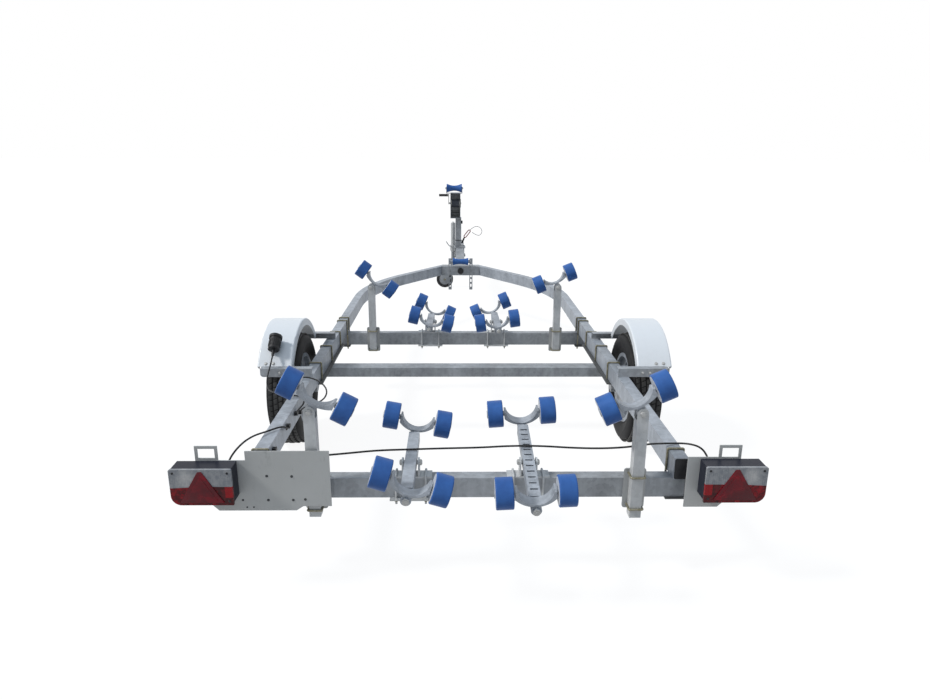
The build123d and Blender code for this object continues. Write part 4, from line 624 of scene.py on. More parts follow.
class Bench:
    """Operators on one new mesh at a time, as they would be used by hand."""

    @staticmethod
    def clear() -> None:
        """Deselects every object."""
        if bpy.context.object and bpy.context.object.mode != "OBJECT":
            bpy.ops.object.mode_set(mode="OBJECT")
        bpy.ops.object.select_all(action="DESELECT")

    @classmethod
    def turned(cls, profile: Sequence[Pair], sides: int = 24, closed: bool = False) -> bpy.types.Object:
        """A piece turned round Z: a circle that is extruded and scaled along a profile.

        Args:
            profile: Radius and height of each ring, from the foot up.
            sides: How many sides the rings have.
            closed: Whether the profile ends where it starts, which makes a hollow ring.

        Returns:
            The closed piece.
        """
        cls.clear()
        radius, height = profile[0]
        fill = "NOTHING" if closed else "NGON"
        bpy.ops.mesh.primitive_circle_add(
            vertices=sides, radius=radius, fill_type=fill, location=(0, 0, height)
        )
        made = bpy.context.object
        bpy.ops.object.transform_apply(location=True)
        bpy.ops.object.mode_set(mode="EDIT")
        bpy.ops.mesh.select_all(action="SELECT")
        for ring, rise in profile[1:]:
            bpy.ops.mesh.extrude_region_move(TRANSFORM_OT_translate={"value": (0, 0, rise - height)})
            scale = ring / radius
            bpy.ops.transform.resize(value=(scale, scale, 1), center_override=(0, 0, rise))
            radius, height = ring, rise
        bpy.ops.mesh.select_all(action="SELECT")
        if closed:
            bpy.ops.mesh.remove_doubles(threshold=0.00001)
        bpy.ops.mesh.normals_make_consistent(inside=False)
        bpy.ops.object.mode_set(mode="OBJECT")
        return made

    @classmethod
    def plate(cls, outline: Sequence[Pair], thick: float, bevel: float) -> bpy.types.Object:
        """A flat piece in XY, extruded up Z and bevelled all round.

        Args:
            outline: Its corners, anticlockwise.
            thick: Its thickness.
            bevel: The width of the bevel on its edges.

        Returns:
            The piece.
        """
        cls.clear()
        bpy.ops.mesh.primitive_circle_add(vertices=len(outline), radius=1.0, fill_type="NGON")
        made = bpy.context.object
        for vertex, (x, y) in zip(made.data.vertices, outline):
            vertex.co = (x, y, 0.0)
        bpy.ops.object.mode_set(mode="EDIT")
        bpy.ops.mesh.select_all(action="SELECT")
        bpy.ops.mesh.extrude_region_move(TRANSFORM_OT_translate={"value": (0, 0, thick)})
        bpy.ops.mesh.select_all(action="SELECT")
        bpy.ops.mesh.normals_make_consistent(inside=False)
        bpy.ops.mesh.bevel(offset=bevel, segments=2, affect="EDGES")
        bpy.ops.object.mode_set(mode="OBJECT")
        return made

    @classmethod
    def join(cls, parts: Iterable[bpy.types.Object], name: str) -> bpy.types.Object:
        """Joins meshes into one object.

        Args:
            parts: The meshes.
            name: The new object's name.

        Returns:
            The joined object.
        """
        cls.clear()
        listed = list(parts)
        for part in listed:
            part.select_set(True)
        bpy.context.view_layer.objects.active = listed[0]
        if len(listed) > 1:
            bpy.ops.object.join()
        listed[0].name = name
        listed[0].data.name = name
        return listed[0]

    @classmethod
    def scatter(
        cls, pattern: bpy.types.Object, places: Iterable[Matrix], name: str
    ) -> bpy.types.Object:
        """Copies a pattern to each place, every copy with its own mesh, and joins them.

        Args:
            pattern: The piece that repeats; it is used up.
            places: The matrix of each copy.
            name: The joined object's name.

        Returns:
            The joined object, at the origin.
        """
        copies = []
        for place in places:
            copy = pattern.copy()
            copy.data = pattern.data.copy()
            copy.data.transform(place)
            bpy.context.scene.collection.objects.link(copy)
            copies.append(copy)
        bpy.data.objects.remove(pattern)
        return cls.join(copies, name)

    @classmethod
    def dress(
        cls, piece: bpy.types.Object, finish: Finish, body: str, slot: str, smooth: float = 35.0
    ) -> None:
        """Gives a piece its finish, its smoothing and the body that it rides on.

        Args:
            piece: The finished mesh, at the origin.
            finish: What it wears.
            body: The body that carries it.
            slot: The record's material slot; not used.
            smooth: The angle below which faces are smoothed, in degrees.
        """
        piece.data.materials.clear()
        piece.data.materials.append(finish.material())
        cls.clear()
        piece.select_set(True)
        bpy.context.view_layer.objects.active = piece
        bpy.ops.object.shade_smooth_by_angle(angle=math.radians(smooth))
        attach(piece, body)
        LOG.info("%s: %d faces, rides on %s", piece.name, len(piece.data.polygons), body)

    @classmethod
    def fit(
        cls, pattern: bpy.types.Object, places: Iterable[Matrix], name: str, *wear: Any
    ) -> bpy.types.Object:
        """Scatters a pattern and dresses what comes of it.

        Args:
            pattern: The piece that repeats; it is used up.
            places: The matrix of each copy.
            name: The piece's name.
            wear: Its finish, body, slot and, where it isn't the usual one, smoothing angle.

        Returns:
            The dressed piece.
        """
        piece = cls.scatter(pattern, places, name)
        cls.dress(piece, *wear)
        return piece

    @classmethod
    def hex_nut(cls, across: float, height: float, stud: float, proud: float) -> bpy.types.Object:
        """A chamfered nut with the end of its bolt, standing on Z.

        Args:
            across: Its width over the corners.
            height: Its height.
            stud: The bolt's radius.
            proud: How far the bolt's end stands out of it.

        Returns:
            The nut.
        """
        half = across / 2
        nut = cls.turned(
            [(half * 0.99, 0.0), (half, height * 0.12), (half, height * 0.82), (half * 0.86, height)],
            6,
        )
        end = cls.turned(
            [(stud, height * 0.5), (stud, height + proud * 0.75), (stud * 0.78, height + proud)], 12
        )
        return cls.join([nut, end], "nut")

    @classmethod
    def washer(cls, radius: float, thick: float) -> bpy.types.Object:
        """A flat washer with a softened edge, standing on Z."""
        edge = thick * 0.25
        return cls.turned(
            [(radius - edge, 0.0), (radius, edge), (radius, thick - edge), (radius - edge, thick)], 20
        )


# ---------------------------------------------------------------- the trailer
@dataclass(frozen=True)
class Layout:
    """Places that several sub-assemblies share, in metres."""

    rear: float
    frame_bottom: float = 0.380
    beam_middle: float = 0.420
    member_bottom: float = 0.305
    member_middle: float = 0.3425
    member_depth: float = 0.050
    rail_x: float = 0.745
    rail_half: float = 0.025
    post_half: float = 0.020
    plate: float = 0.006
    leg: float = 0.0043
    winch_at: float = 5.110
    wheel_radius: float = 0.289

    def ahead(self, x: float, distance: float, height: float) -> Vector:
        """A point by its distance ahead of the rear cross member."""
        return Vector((x, self.rear + distance, height))

    @property
    def front(self) -> float:
        """The rear face of the front cross member."""
        return self.rear + FRONT_AT

    @property
    def wheel_y(self) -> float:
        """The road wheels' axis."""
        return self.rear + 1.205


@dataclass
class SteelFrame:
    """Finishes of the frame's solids, tube end caps, the nose knob and the painted shadow strips in the
    nose's seams.
    """

    layout: Layout
    nodes: Nodes
    dull: tuple[str, ...] = (
        "cross_members", "axle_beam", "suspension_arms", "drawbar", "mudguard_brackets",
        "keel_roller_straps", "winch_post", "coupling_head", "coupling_lever", "jockey_leg",
        "jockey_fork",
    )
    pale: tuple[str, ...] = ("roller_posts", "cradle_brackets", "jockey_tube")
    cap_proud: float = 0.004
    rail_overhang: float = 0.012
    member_half: float = 0.768
    knob_radius: float = 0.027
    nose_half: float = 0.160

    def finish_solids(self) -> None:
        """Gives every galvanised solid its finish."""
        for name, node in self.nodes.items():
            if name in self.pale:
                put(node, GALVANISED_PALE)
            elif name in self.dull:
                put(node, GALVANISED)
            elif name == "side_rails" or name.endswith(("wishbone", "cradle_arm", "rim")):
                put(node, GALVANISED_BRIGHT)

    def end_caps(self) -> None:
        """Black plastic plugs in the rails' rear ends and the cross members' ends."""
        lay = self.layout
        cap = Bench.plate(rounded(lay.rail_half - 0.0015, 0.0385, 0.006), self.cap_proud, 0.0012)
        end = lay.rear - self.rail_overhang
        places = [stand((side * lay.rail_x, end, lay.beam_middle), -FORWARD) for side in SIDES]
        Bench.fit(cap, places, "rail_end_caps", BLACK, "frame", "black_plastic")
        cap = Bench.plate(rounded(0.0235, 0.036, 0.006), self.cap_proud, 0.0012)
        places = []
        for side, member in product(SIDES, (lay.rear, lay.front)):
            middle = (side * self.member_half, member + lay.member_depth / 2, lay.member_middle)
            places.append(stand(middle, RIGHT * side, math.pi / 2))
        Bench.fit(cap, places, "member_end_caps", BLACK, "frame", "black_plastic")

    def nose_knob(self) -> None:
        """The black knob and strips of painted shadow along the seams on the nose beam's rear face."""
        face = Vector((0.0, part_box("keel_roller_straps")[1].y, self.layout.beam_middle))
        middle, wide = stand(face, -FORWARD), self.knob_radius
        knob = Bench.turned(
            [(0.015, 0.0), (0.016, 0.008), (wide * 0.9, 0.009), (wide, 0.012), (wide, 0.022),
             (wide * 0.86, 0.027), (wide * 0.4, 0.029)], 28,
        )
        Bench.fit(knob, [middle], "nose_knob", BLACK, "frame", "black_plastic")
        ends = [upright(face + RIGHT * side * self.nose_half) for side in SIDES]
        # painted shadow: thin dark strips laid along the seams where the gaps are in shade
        seams = []
        for half_x, half_y, name, places in (
            (0.155, 0.0022, "level_seam_shadow", [middle]), (0.0025, 0.036, "end_seam_shadows", ends),
        ):
            strip = Bench.plate(rounded(half_x, half_y, 0.0015), 0.0010, 0.0003)
            seams.append(Bench.scatter(strip, places, name))
        Bench.dress(Bench.join(seams, "nose_seam_shadows"), SHADOW_GAP, "frame", "black_plastic")

    def build(self) -> None:
        """Makes everything of the frame."""
        self.finish_solids()
        self.end_caps()
        self.nose_knob()


def rounded(half_x: float, half_y: float, radius: float, steps: int = 3) -> list[Pair]:
    """A rectangle's outline with round corners.

    Args:
        half_x: Half its width.
        half_y: Half its height.
        radius: The corners' radius.
        steps: Chords in each corner.

    Returns:
        Its corners, anticlockwise.
    """
    outline = []
    for quarter, (sx, sy) in enumerate(((1, 1), (-1, 1), (-1, -1), (1, -1))):
        for step in range(steps + 1):
            angle = math.pi / 2 * (quarter + step / steps)
            outline.append((
                sx * (half_x - radius) + radius * math.cos(angle),
                sy * (half_y - radius) + radius * math.sin(angle),
            ))
    return outline


def put(node: bpy.types.Object, finish: Finish) -> None:
    """Gives a carried-over solid its finish in every material slot."""
    if not node.data.materials:
        node.data.materials.append(finish.material())
    for index in range(len(node.data.materials)):
        node.data.materials[index] = finish.material()


@dataclass
class Fasteners:
    """Nuts and bolt heads on the frame and on its moving arms."""

    layout: Layout
    nut_across: float = 0.0150
    nut_height: float = 0.0065
    posts: tuple[Triple, ...] = (
        (-0.540, 0.0, 0.648), (0.586, 0.0, 0.640), (-0.556, FRONT_AT, 0.676), (0.576, FRONT_AT, 0.678),
    )
    cradles: tuple[Triple, ...] = (
        (-0.206, 0.0, 0.430), (0.210, 0.0, 0.430), (-0.203, FRONT_AT, 0.446), (0.207, FRONT_AT, 0.446),
    )
    rail_clamps: tuple[Pair, ...] = (
        (0.062, 0.305), (1.080, 0.380), (1.380, 0.380), (1.670, 0.380), (1.935, 0.305), (2.009, 0.305),
    )

    arms: tuple[tuple[str, float], ...] = (
        ("rear_left", 0.0), ("rear_right", 8.0), ("front_left", -5.2), ("front_right", -3.1),
    )
    post_leg: float = 0.061
    post_setback: float = 0.026
    bracket_leg: float = 0.0525
    bracket_half: float = 0.0315
    winch_leg: float = 0.065
    drawbar_half: float = 0.040
    arm_half: float = 0.2785
    bow_roller: Triple = (-0.057, 5.076, 1.070)
    bow_half: float = 0.083

    def clamp_nuts(self) -> None:
        """A nut on every leg of the square U-bolts."""
        lay = self.layout
        places = []
        for side, (distance, top), leg in product(SIDES, self.rail_clamps, SIDES):
            x = side * lay.rail_x + leg * (lay.rail_half + lay.leg)
            places.append(stand((x, lay.rear + distance, top - lay.plate), -UP, distance * 9))
        for (x, member, _), side, leg in product(self.cradles, SIDES, SIDES):
            y = lay.rear + member + lay.member_depth / 2 + leg * (lay.member_depth / 2 + lay.leg)
            foot = (x + side * self.bracket_leg, y, lay.member_bottom - lay.plate)
            places.append(stand(foot, -UP, x))
        for fore, leg in product(SIDES, SIDES):
            y = lay.rear + lay.winch_at + fore * self.winch_leg
            foot = (leg * (self.drawbar_half + lay.leg), y, lay.frame_bottom - lay.plate)
            places.append(stand(foot, -UP))
        for (x, member, _), lift, leg in product(self.posts, SIDES, SIDES):
            height = lay.member_middle + lift * self.post_leg
            point = (x + leg * (lay.post_half + lay.leg), lay.rear + member, height)
            places.append(stand(point, FORWARD, x * 5))
        nut = Bench.hex_nut(self.nut_across, self.nut_height, 0.0040, 0.0095)
        Bench.fit(nut, places, "clamp_nuts", YELLOW_ZINC, "frame", "zinc_steel")

    def pivot_bolts(self) -> None:
        """Nuts on the pivots of the posts, the cradle brackets and the bow roller."""
        lay = self.layout
        places = []
        for (x, member, height), side in product(self.posts, SIDES):
            y = lay.rear + member - self.post_setback + side * lay.post_half
            places.append(stand((x, y, height), FORWARD * side, 0.3))
        for (x, member, height), side in product(self.cradles, SIDES):
            y = lay.rear + member + lay.member_depth / 2
            places.append(stand((x + side * self.bracket_half, y, height), RIGHT * side, 0.5))
        x, distance, height = self.bow_roller
        for side in SIDES:
            places.append(stand(lay.ahead(x + side * self.bow_half, distance, height), RIGHT * side))
        nut = Bench.hex_nut(0.0235, 0.0070, 0.0070, 0.0020)
        Bench.fit(nut, places, "pivot_nuts", BOLT_STEEL, "frame", "zinc_steel")

    def arm_tip_bolts(self) -> None:
        """A hexagon on the end of each cradle arm's two long pivot bolts."""
        lay = self.layout
        for (name, pitch), (x, member, height) in zip(self.arms, self.cradles):
            middle = lay.ahead(x, member + lay.member_depth / 2, height)
            turn = math.radians(pitch)
            along = Vector((0, math.cos(turn), math.sin(turn)))
            places = [stand(middle + along * side * self.arm_half, along * side, 0.2) for side in SIDES]
            Bench.fit(
                Bench.hex_nut(0.0270, 0.0095, 0.0080, 0.0020), places, f"{name}_arm_bolt_heads",
                BOLT_STEEL, f"{name}_cradle_arm", "zinc_steel",
            )

    def build(self) -> None:
        """Makes all the fasteners."""
        self.clamp_nuts()
        self.pivot_bolts()
        self.arm_tip_bolts()


@dataclass
class Rollers:
    """Blue rollers and the pale hub discs in their flanks."""

    nodes: Nodes
    joints: Sequence[Mapping[str, Any]]
    spacing: float = 0.100
    half_width: float = 0.029
    hub_inner: float = 0.0190
    hub_outer: float = 0.0465

    def hub(self) -> bpy.types.Object:
        """A dished ring that stands just proud of a roller's flank."""
        return Bench.turned(
            [(self.hub_outer, -0.0010), (self.hub_outer - 0.0006, 0.0005),
             (self.hub_outer - 0.0030, 0.0007), (self.hub_inner, 0.0007)], 36,
        )

    def build(self) -> None:
        """Dresses every roller and adds its hub discs."""
        for name, node in self.nodes.items():
            if name.endswith(("rollers", "keel_roller", "bow_roller")):
                put(node, BLUE)
        for joint in self.joints:
            if not joint["name"].endswith("_rollers_spin"):
                continue
            pair = joint["child"]
            centre, axis = Vector(joint["pos_m"]), Vector(joint["axis"]).normalized()
            flanks = []
            for side, facing in product(SIDES, SIDES):
                point = centre + axis * (side * self.spacing + facing * self.half_width)
                flanks.append(stand(point, axis * facing))
            Bench.fit(self.hub(), flanks, f"{pair}_hubs", HUB_PLASTIC, pair, "white_plastic", 30.0)


@dataclass
class RoadWheels:
    """Tyres with tread blocks, and the bolts, hub caps and valves of the rims."""

    layout: Layout
    track_half: float = 0.890
    bead: float = 0.1672
    wall: tuple[Pair, ...] = (
        (0.182, 0.057), (0.196, 0.068), (0.214, 0.0752), (0.232, 0.0775), (0.236, 0.0785),
        (0.240, 0.0775), (0.255, 0.0755), (0.268, 0.0705), (0.2735, 0.0640),
    )
    tread_half: float = 0.0625
    fall: float = 0.009
    groove: float = 0.0064
    block_depth: float = 0.0070
    pitches: int = 64
    ribs: tuple[Triple, ...] = (
        (-0.049, 0.020, 0.35), (-0.0245, 0.019, 0.0), (0.0, 0.018, 0.5), (0.0245, 0.019, 0.0),
        (0.049, 0.020, 0.35),
    )
    bolts: int = 4
    bolt_circle: float = 0.050
    bolt_face: float = -0.008
    hub_end: float = 0.026
    valve: Pair = (0.020, -0.1445)

    def tread_block(self, width: float) -> bpy.types.Object:
        """One skewed tread block, standing on Z with its length along Y."""
        half_l, half_w, skew = 0.0119, width / 2, 0.0035
        outline = [
            (-half_w, -half_l - skew), (half_w, -half_l + skew), (half_w, half_l + skew),
            (-half_w, half_l - skew),
        ]
        return Bench.plate(outline, self.block_depth, 0.0008)

    def crown(self, across: float) -> float:
        """The tread's radius at a distance from its middle."""
        return self.layout.wheel_radius - self.fall * (across / self.tread_half) ** 2

    def carcass(self) -> bpy.types.Object:
        """The tyre without its tread: beads, side walls with a ridge and the groove floor."""
        floor = [
            (self.crown(across) - self.groove, across) for across in (0.059, 0.045, 0.030, 0.015)
        ]
        half = [(self.bead, 0.057), *self.wall, *floor]
        middle = (self.crown(0.0) - self.groove, 0.0)
        outer = [*half, middle, *((radius, -across) for radius, across in reversed(half))]
        inner = [(self.bead, -0.050), (0.225, -0.069), (0.262, -0.050), (0.262, 0.050), (0.225, 0.069),
                 (self.bead, 0.050)]
        return Bench.turned([*outer, *inner, outer[0]], 112, closed=True)

    def treads(self, axle: Vector, name: str) -> None:
        """One tyre: its carcass with rings of blocks that stand out of it.

        Args:
            axle: The wheel's middle.
            name: The wheel's name.
        """
        pieces = [Bench.scatter(self.carcass(), [stand(axle, RIGHT)], "carcass")]
        for rib, (across, width, phase) in enumerate(self.ribs):
            places = []
            for step in range(self.pitches):
                turn = Matrix.Rotation(math.tau * (step + phase) / self.pitches, 4, "X")
                foot = Matrix.Translation((across, 0.0, self.crown(across) - self.block_depth))
                lean = Matrix.Rotation(-across * 5.0, 4, "Y")
                places.append(Matrix.Translation(axle) @ turn @ foot @ lean)
            pieces.append(Bench.scatter(self.tread_block(width), places, f"rib_{rib}"))
        tyre = Bench.join(pieces, f"{name}_tyre_with_tread")
        Bench.dress(tyre, TyreRubber(self.layout.wheel_y), f"{name}_wheel", "tyre", 30.0)
        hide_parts(f"{name}_tyre")

    def hub_fittings(self, axle: Vector, outward: Vector, name: str) -> None:
        """Wheel bolts, hub cap and valve of one rim.

        Args:
            axle: The wheel's middle.
            outward: Where its outer side faces.
            name: The wheel's name.
        """
        places = []
        for index in range(self.bolts):
            angle = math.tau * (index + 0.5) / self.bolts
            circle = Vector((0.0, math.cos(angle), math.sin(angle))) * self.bolt_circle
            places.append(stand(axle + outward * self.bolt_face + circle, outward, angle))
        pattern = Bench.hex_nut(0.0215, 0.014, 0.006, 0.004)
        Bench.fit(pattern, places, f"{name}_wheel_bolts", YELLOW_ZINC, f"{name}_wheel", "zinc_steel")
        cap = Bench.turned(
            [(0.0335, 0.0), (0.0335, 0.004), (0.0285, 0.006), (0.0280, 0.016), (0.0240, 0.022),
             (0.0120, 0.025)], 32,
        )
        Bench.fit(
            cap, [stand(axle + outward * self.hub_end, outward)], f"{name}_hub_cap",
            GALVANISED_BRIGHT, f"{name}_wheel", "galvanised_steel", 40.0,
        )
        valve = Bench.turned(
            [(0.0065, 0.0), (0.0060, 0.006), (0.0035, 0.012), (0.0035, 0.024), (0.0045, 0.025),
             (0.0045, 0.034), (0.0030, 0.036)], 14,
        )
        out, lift = self.valve
        foot = axle + outward * out + UP * lift
        Bench.fit(
            valve, [stand(foot, outward + UP * 0.35)], f"{name}_valve",
            SOFT_BLACK, f"{name}_wheel", "tyre", 40.0,
        )

    def build(self) -> None:
        """Dresses both wheels."""
        lay = self.layout
        for side, name in zip(SIDES, ("left", "right")):
            axle = Vector((side * self.track_half, lay.wheel_y, lay.wheel_radius))
            self.treads(axle, name)
            self.hub_fittings(axle, RIGHT * side, name)


@dataclass
class Mudguards:
    """White guards with the screws and washers that hold them."""

    layout: Layout
    nodes: Nodes
    radius: float = 0.362
    outer_x: float = 0.985
    stations: Pair = (0.075, 0.040)
    carrier_top: float = 0.500
    carrier_sheet: float = 0.010
    carrier_reach: float = 0.2959
    leg: float = 0.040

    def build(self) -> None:
        """Dresses the guards and adds their screws."""
        put(self.nodes["mudguards"], GuardPlastic())
        lay = self.layout
        rise = self.carrier_top + self.carrier_sheet
        reach = math.sqrt(self.radius ** 2 - (rise - lay.wheel_radius) ** 2)
        guard, face = [], []
        for side, fore, station in product(SIDES, SIDES, self.stations):
            outward = Vector((0.0, fore * reach, rise - lay.wheel_radius)).normalized()
            end = lay.wheel_y + fore * (self.carrier_reach + self.leg)
            x = side * (self.outer_x - station)
            point = Vector((x, lay.wheel_y + fore * reach, rise))
            guard.append(stand(point - outward * 0.0005, outward))
            face.append(stand((x - side * 0.075, end, self.carrier_top - 0.020), FORWARD * fore))
        washer = Bench.washer(0.0085, 0.0016)
        head = Bench.turned(
            [(0.0058, 0.0014), (0.0058, 0.0030), (0.0044, 0.0046), (0.0020, 0.0052)], 16
        )
        pattern = Bench.join([washer, head], "guard_screw")
        Bench.fit(pattern, guard, "guard_screws", BOLT_STEEL, "frame", "zinc_steel")
        Bench.fit(
            Bench.hex_nut(0.0130, 0.0055, 0.0035, 0.0030), face, "carrier_bolts",
            BOLT_STEEL, "frame", "zinc_steel",
        )


@dataclass
class RearLamps:
    """Lamp finish, reflectors and screws, and the plates that carry the lamps."""

    layout: Layout
    nodes: Nodes
    centre_x: float = 0.891
    middles: Mapping[LampSide, float] = field(
        default_factory=lambda: {LampSide.LEFT: 0.417, LampSide.RIGHT: 0.421}
    )
    lens_front: float = -0.136
    lens_back: float = -0.1257
    board_face: float = -0.062
    triangle: tuple[Pair, ...] = ((-0.074, -0.055), (0.074, -0.055), (0.007, 0.057), (-0.007, 0.057))
    corners: tuple[Pair, ...] = ((-0.090, 0.052), (0.090, 0.052), (-0.090, -0.050))
    spots: tuple[Triple, ...] = (
        (-0.6931, 0.4218, 0.0050), (-0.6083, 0.4201, 0.0050), (-0.7817, 0.3306, 0.0042),
        (-0.6942, 0.3303, 0.0050), (-0.6084, 0.3300, 0.0050), (-0.5669, 0.3324, 0.0050),
        (-0.7690, 0.3030, 0.0030), (-0.7460, 0.3030, 0.0030),
    )

    def on_lens(self, side: LampSide, x: float, z: float, sunk: float) -> Matrix:
        """A place on a lens.

        Args:
            side: Which lamp.
            x: How far outward of the lens's middle.
            z: How far above it.
            sunk: How far into the lens.

        Returns:
            The place of a flat piece.
        """
        out = side.value * (self.centre_x + x)
        face = self.layout.rear + self.lens_front
        return upright(Vector((out, face + sunk, self.middles[side] + z)))

    def reflector(self, side: LampSide) -> None:
        """The raised red triangle of one lamp.

        Args:
            side: Which lamp.
        """
        body = Bench.plate(self.triangle, 0.0035, 0.0014)
        inner = Bench.plate([(x * 0.72, y * 0.72 - 0.007) for x, y in self.triangle], 0.0048, 0.0010)
        name = f"{side.name.lower()}_lamp_triangle"
        Bench.fit(
            Bench.join([body, inner], "triangle"), [self.on_lens(side, 0.0, 0.0, 0.0005)], name,
            LENS_RED, "frame", "lamp_plastic",
        )

    def screws(self) -> None:
        """Three dark screws in the corners of each lens."""
        places = [self.on_lens(side, x, z, 0.0006) for side, (x, z) in product(LampSide, self.corners)]
        head = Bench.turned([(0.0042, 0.0), (0.0042, 0.0016), (0.0030, 0.0026), (0.0012, 0.0018)], 14)
        Bench.fit(head, places, "lamp_screws", BLACK, "frame", "black_plastic")

    def board_rivets(self) -> None:
        """Rivets and dark marks of the number-plate board."""
        heads = []
        for x, z, size in self.spots:
            head = Bench.turned(
                [(size, -0.0003), (size, 0.0006), (size * 0.65, 0.0014), (size * 0.2, 0.0016)], 14
            )
            head.data.transform(upright(Vector((x, self.layout.rear + self.board_face, z))))
            heads.append(head)
        rivets = Bench.join(heads, "board_rivets")
        Bench.dress(rivets, CLAMP_DARK, "frame", "galvanised_steel", 60.0)

    def build(self) -> None:
        """Dresses both lamps and their plates."""
        put(self.nodes["lamps"], LampBody(lens_back=self.layout.rear + self.lens_back))
        put(self.nodes["lamp_brackets"], BoardMetal())
        for side in LampSide:
            self.reflector(side)
        self.screws()
        self.board_rivets()


@dataclass
class WinchAndNose:
    """Winch, coupling and jockey wheel: finishes and small fittings."""

    layout: Layout
    nodes: Nodes
    winch_x: float = -0.045
    winch_height: float = 0.915
    teeth: int = 18
    tooth_radii: Pair = (0.037, 0.044)
    bars: int = 4
    bar_pitch: float = 0.0165
    jockey_at: float = 5.260
    jockey_x: float = -0.070
    jockey_trail: float = 0.090
    jockey_radius: float = 0.090
    coupling_at: float = 5.500

    def winch(self) -> None:
        """Drum finish, ratchet wheel, the bars low in the head, the post's buffer and band."""
        y = self.layout.rear + self.layout.winch_at
        put(self.nodes["winch_drum"], WinchFinish((self.winch_x, y, self.winch_height)))
        outline = []
        for index in range(self.teeth * 2):
            angle, radius = math.pi * index / self.teeth, self.tooth_radii[index % 2]
            outline.append((radius * math.cos(angle), radius * math.sin(angle)))
        Bench.fit(
            Bench.plate(outline, 0.004, 0.0004), [stand((0.0075, y, self.winch_height), RIGHT)],
            "winch_ratchet", YELLOW_ZINC, "winch_drum", "zinc_steel",
        )
        bar = Bench.plate(rounded(0.0440, 0.0045, 0.0020), 0.0030, 0.0010)
        lowest = Vector((self.winch_x, y + 0.0500, 0.782))
        places = [upright(lowest + UP * step * self.bar_pitch) for step in range(self.bars)]
        Bench.fit(bar, places, "winch_bars", CLAMP_DARK, "frame", "black_plastic")
        block = Bench.plate(rounded(0.010, 0.016, 0.003), 0.014, 0.002)
        Bench.fit(
            block, [stand((0.016, y, 0.722), RIGHT, math.pi / 2)], "post_buffer",
            BLACK, "frame", "black_plastic",
        )
        band = Bench.plate(rounded(0.0318, 0.0318, 0.003), 0.007, 0.001)
        Bench.fit(band, [stand((-0.014, y, 0.532), UP)], "post_band", BLACK, "frame", "black_plastic")

    def jockey(self) -> None:
        """Hub discs and axle nuts of the jockey wheel, and the crank's grip."""
        y = self.layout.rear + self.jockey_at
        axle = Vector((self.jockey_x - self.jockey_trail, y, self.jockey_radius))
        put(self.nodes["jockey_wheel"], JOCKEY_RUBBER)
        hub = Bench.turned(
            [(0.058, -0.0004), (0.056, 0.0012), (0.030, 0.0014), (0.020, 0.0030), (0.0120, 0.0032)], 32
        )
        places = [stand(axle + FORWARD * side * 0.025, FORWARD * side) for side in SIDES]
        Bench.fit(hub, places, "jockey_hub_discs", GALVANISED, "jockey_wheel", "galvanised_steel")
        places = [stand(axle + FORWARD * side * 0.037, FORWARD * side) for side in SIDES]
        Bench.fit(
            Bench.hex_nut(0.022, 0.0075, 0.006, 0.003), places, "jockey_axle_nuts",
            YELLOW_ZINC, "jockey_fork", "zinc_steel",
        )
        grip = Bench.turned(
            [(0.0105, 0.0), (0.0118, 0.006), (0.0112, 0.030), (0.0120, 0.046), (0.0075, 0.050)], 20
        )
        Bench.fit(
            grip, [stand((self.jockey_x, y + 0.070, 0.702), -UP)], "jockey_crank_grip",
            BLACK, "frame", "black_plastic", 50.0,
        )

    def coupling(self) -> None:
        """Through-bolts of the coupling."""
        end = self.layout.rear + self.coupling_at
        places = []
        for back, side in product((0.025, 0.075), SIDES):
            places.append(stand((side * 0.0453, end - back, 0.424), RIGHT * side, back * 20))
        Bench.fit(
            Bench.hex_nut(0.020, 0.008, 0.006, 0.004), places, "coupling_bolts",
            YELLOW_ZINC, "frame", "zinc_steel",
        )

    def build(self) -> None:
        """Makes everything ahead of the nose."""
        self.winch()
        self.jockey()
        self.coupling()


@dataclass
class Cable:
    """One free cable: a smooth curve on its own points, with a round section."""

    name: str
    points: Sequence[Vector]
    length: float
    radius: float = 0.0035
    with_pieces: Sequence[Any] = field(default_factory=list)

    def build(self, node: str) -> None:
        """Args:
            node: The solid that it stands for.
        """
        curve = bpy.data.curves.new(self.name, "CURVE")
        curve.dimensions = "3D"
        curve.bevel_depth = self.radius
        curve.bevel_resolution = 3
        curve.resolution_u = 10
        curve.use_fill_caps = True
        spline = curve.splines.new("NURBS")
        spline.points.add(len(self.points) - 1)
        for point, place in zip(spline.points, self.points):
            point.co = (*place, 1.0)
        spline.order_u = 3
        spline.use_endpoint_u = True
        piece = bpy.data.objects.new(self.name, curve)
        bpy.context.scene.collection.objects.link(piece)
        curve.materials.append(SOFT_BLACK.material())
        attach(piece, "frame")
        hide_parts(node)
        LOG.info("%s: cable of %.2f m", self.name, self.length)


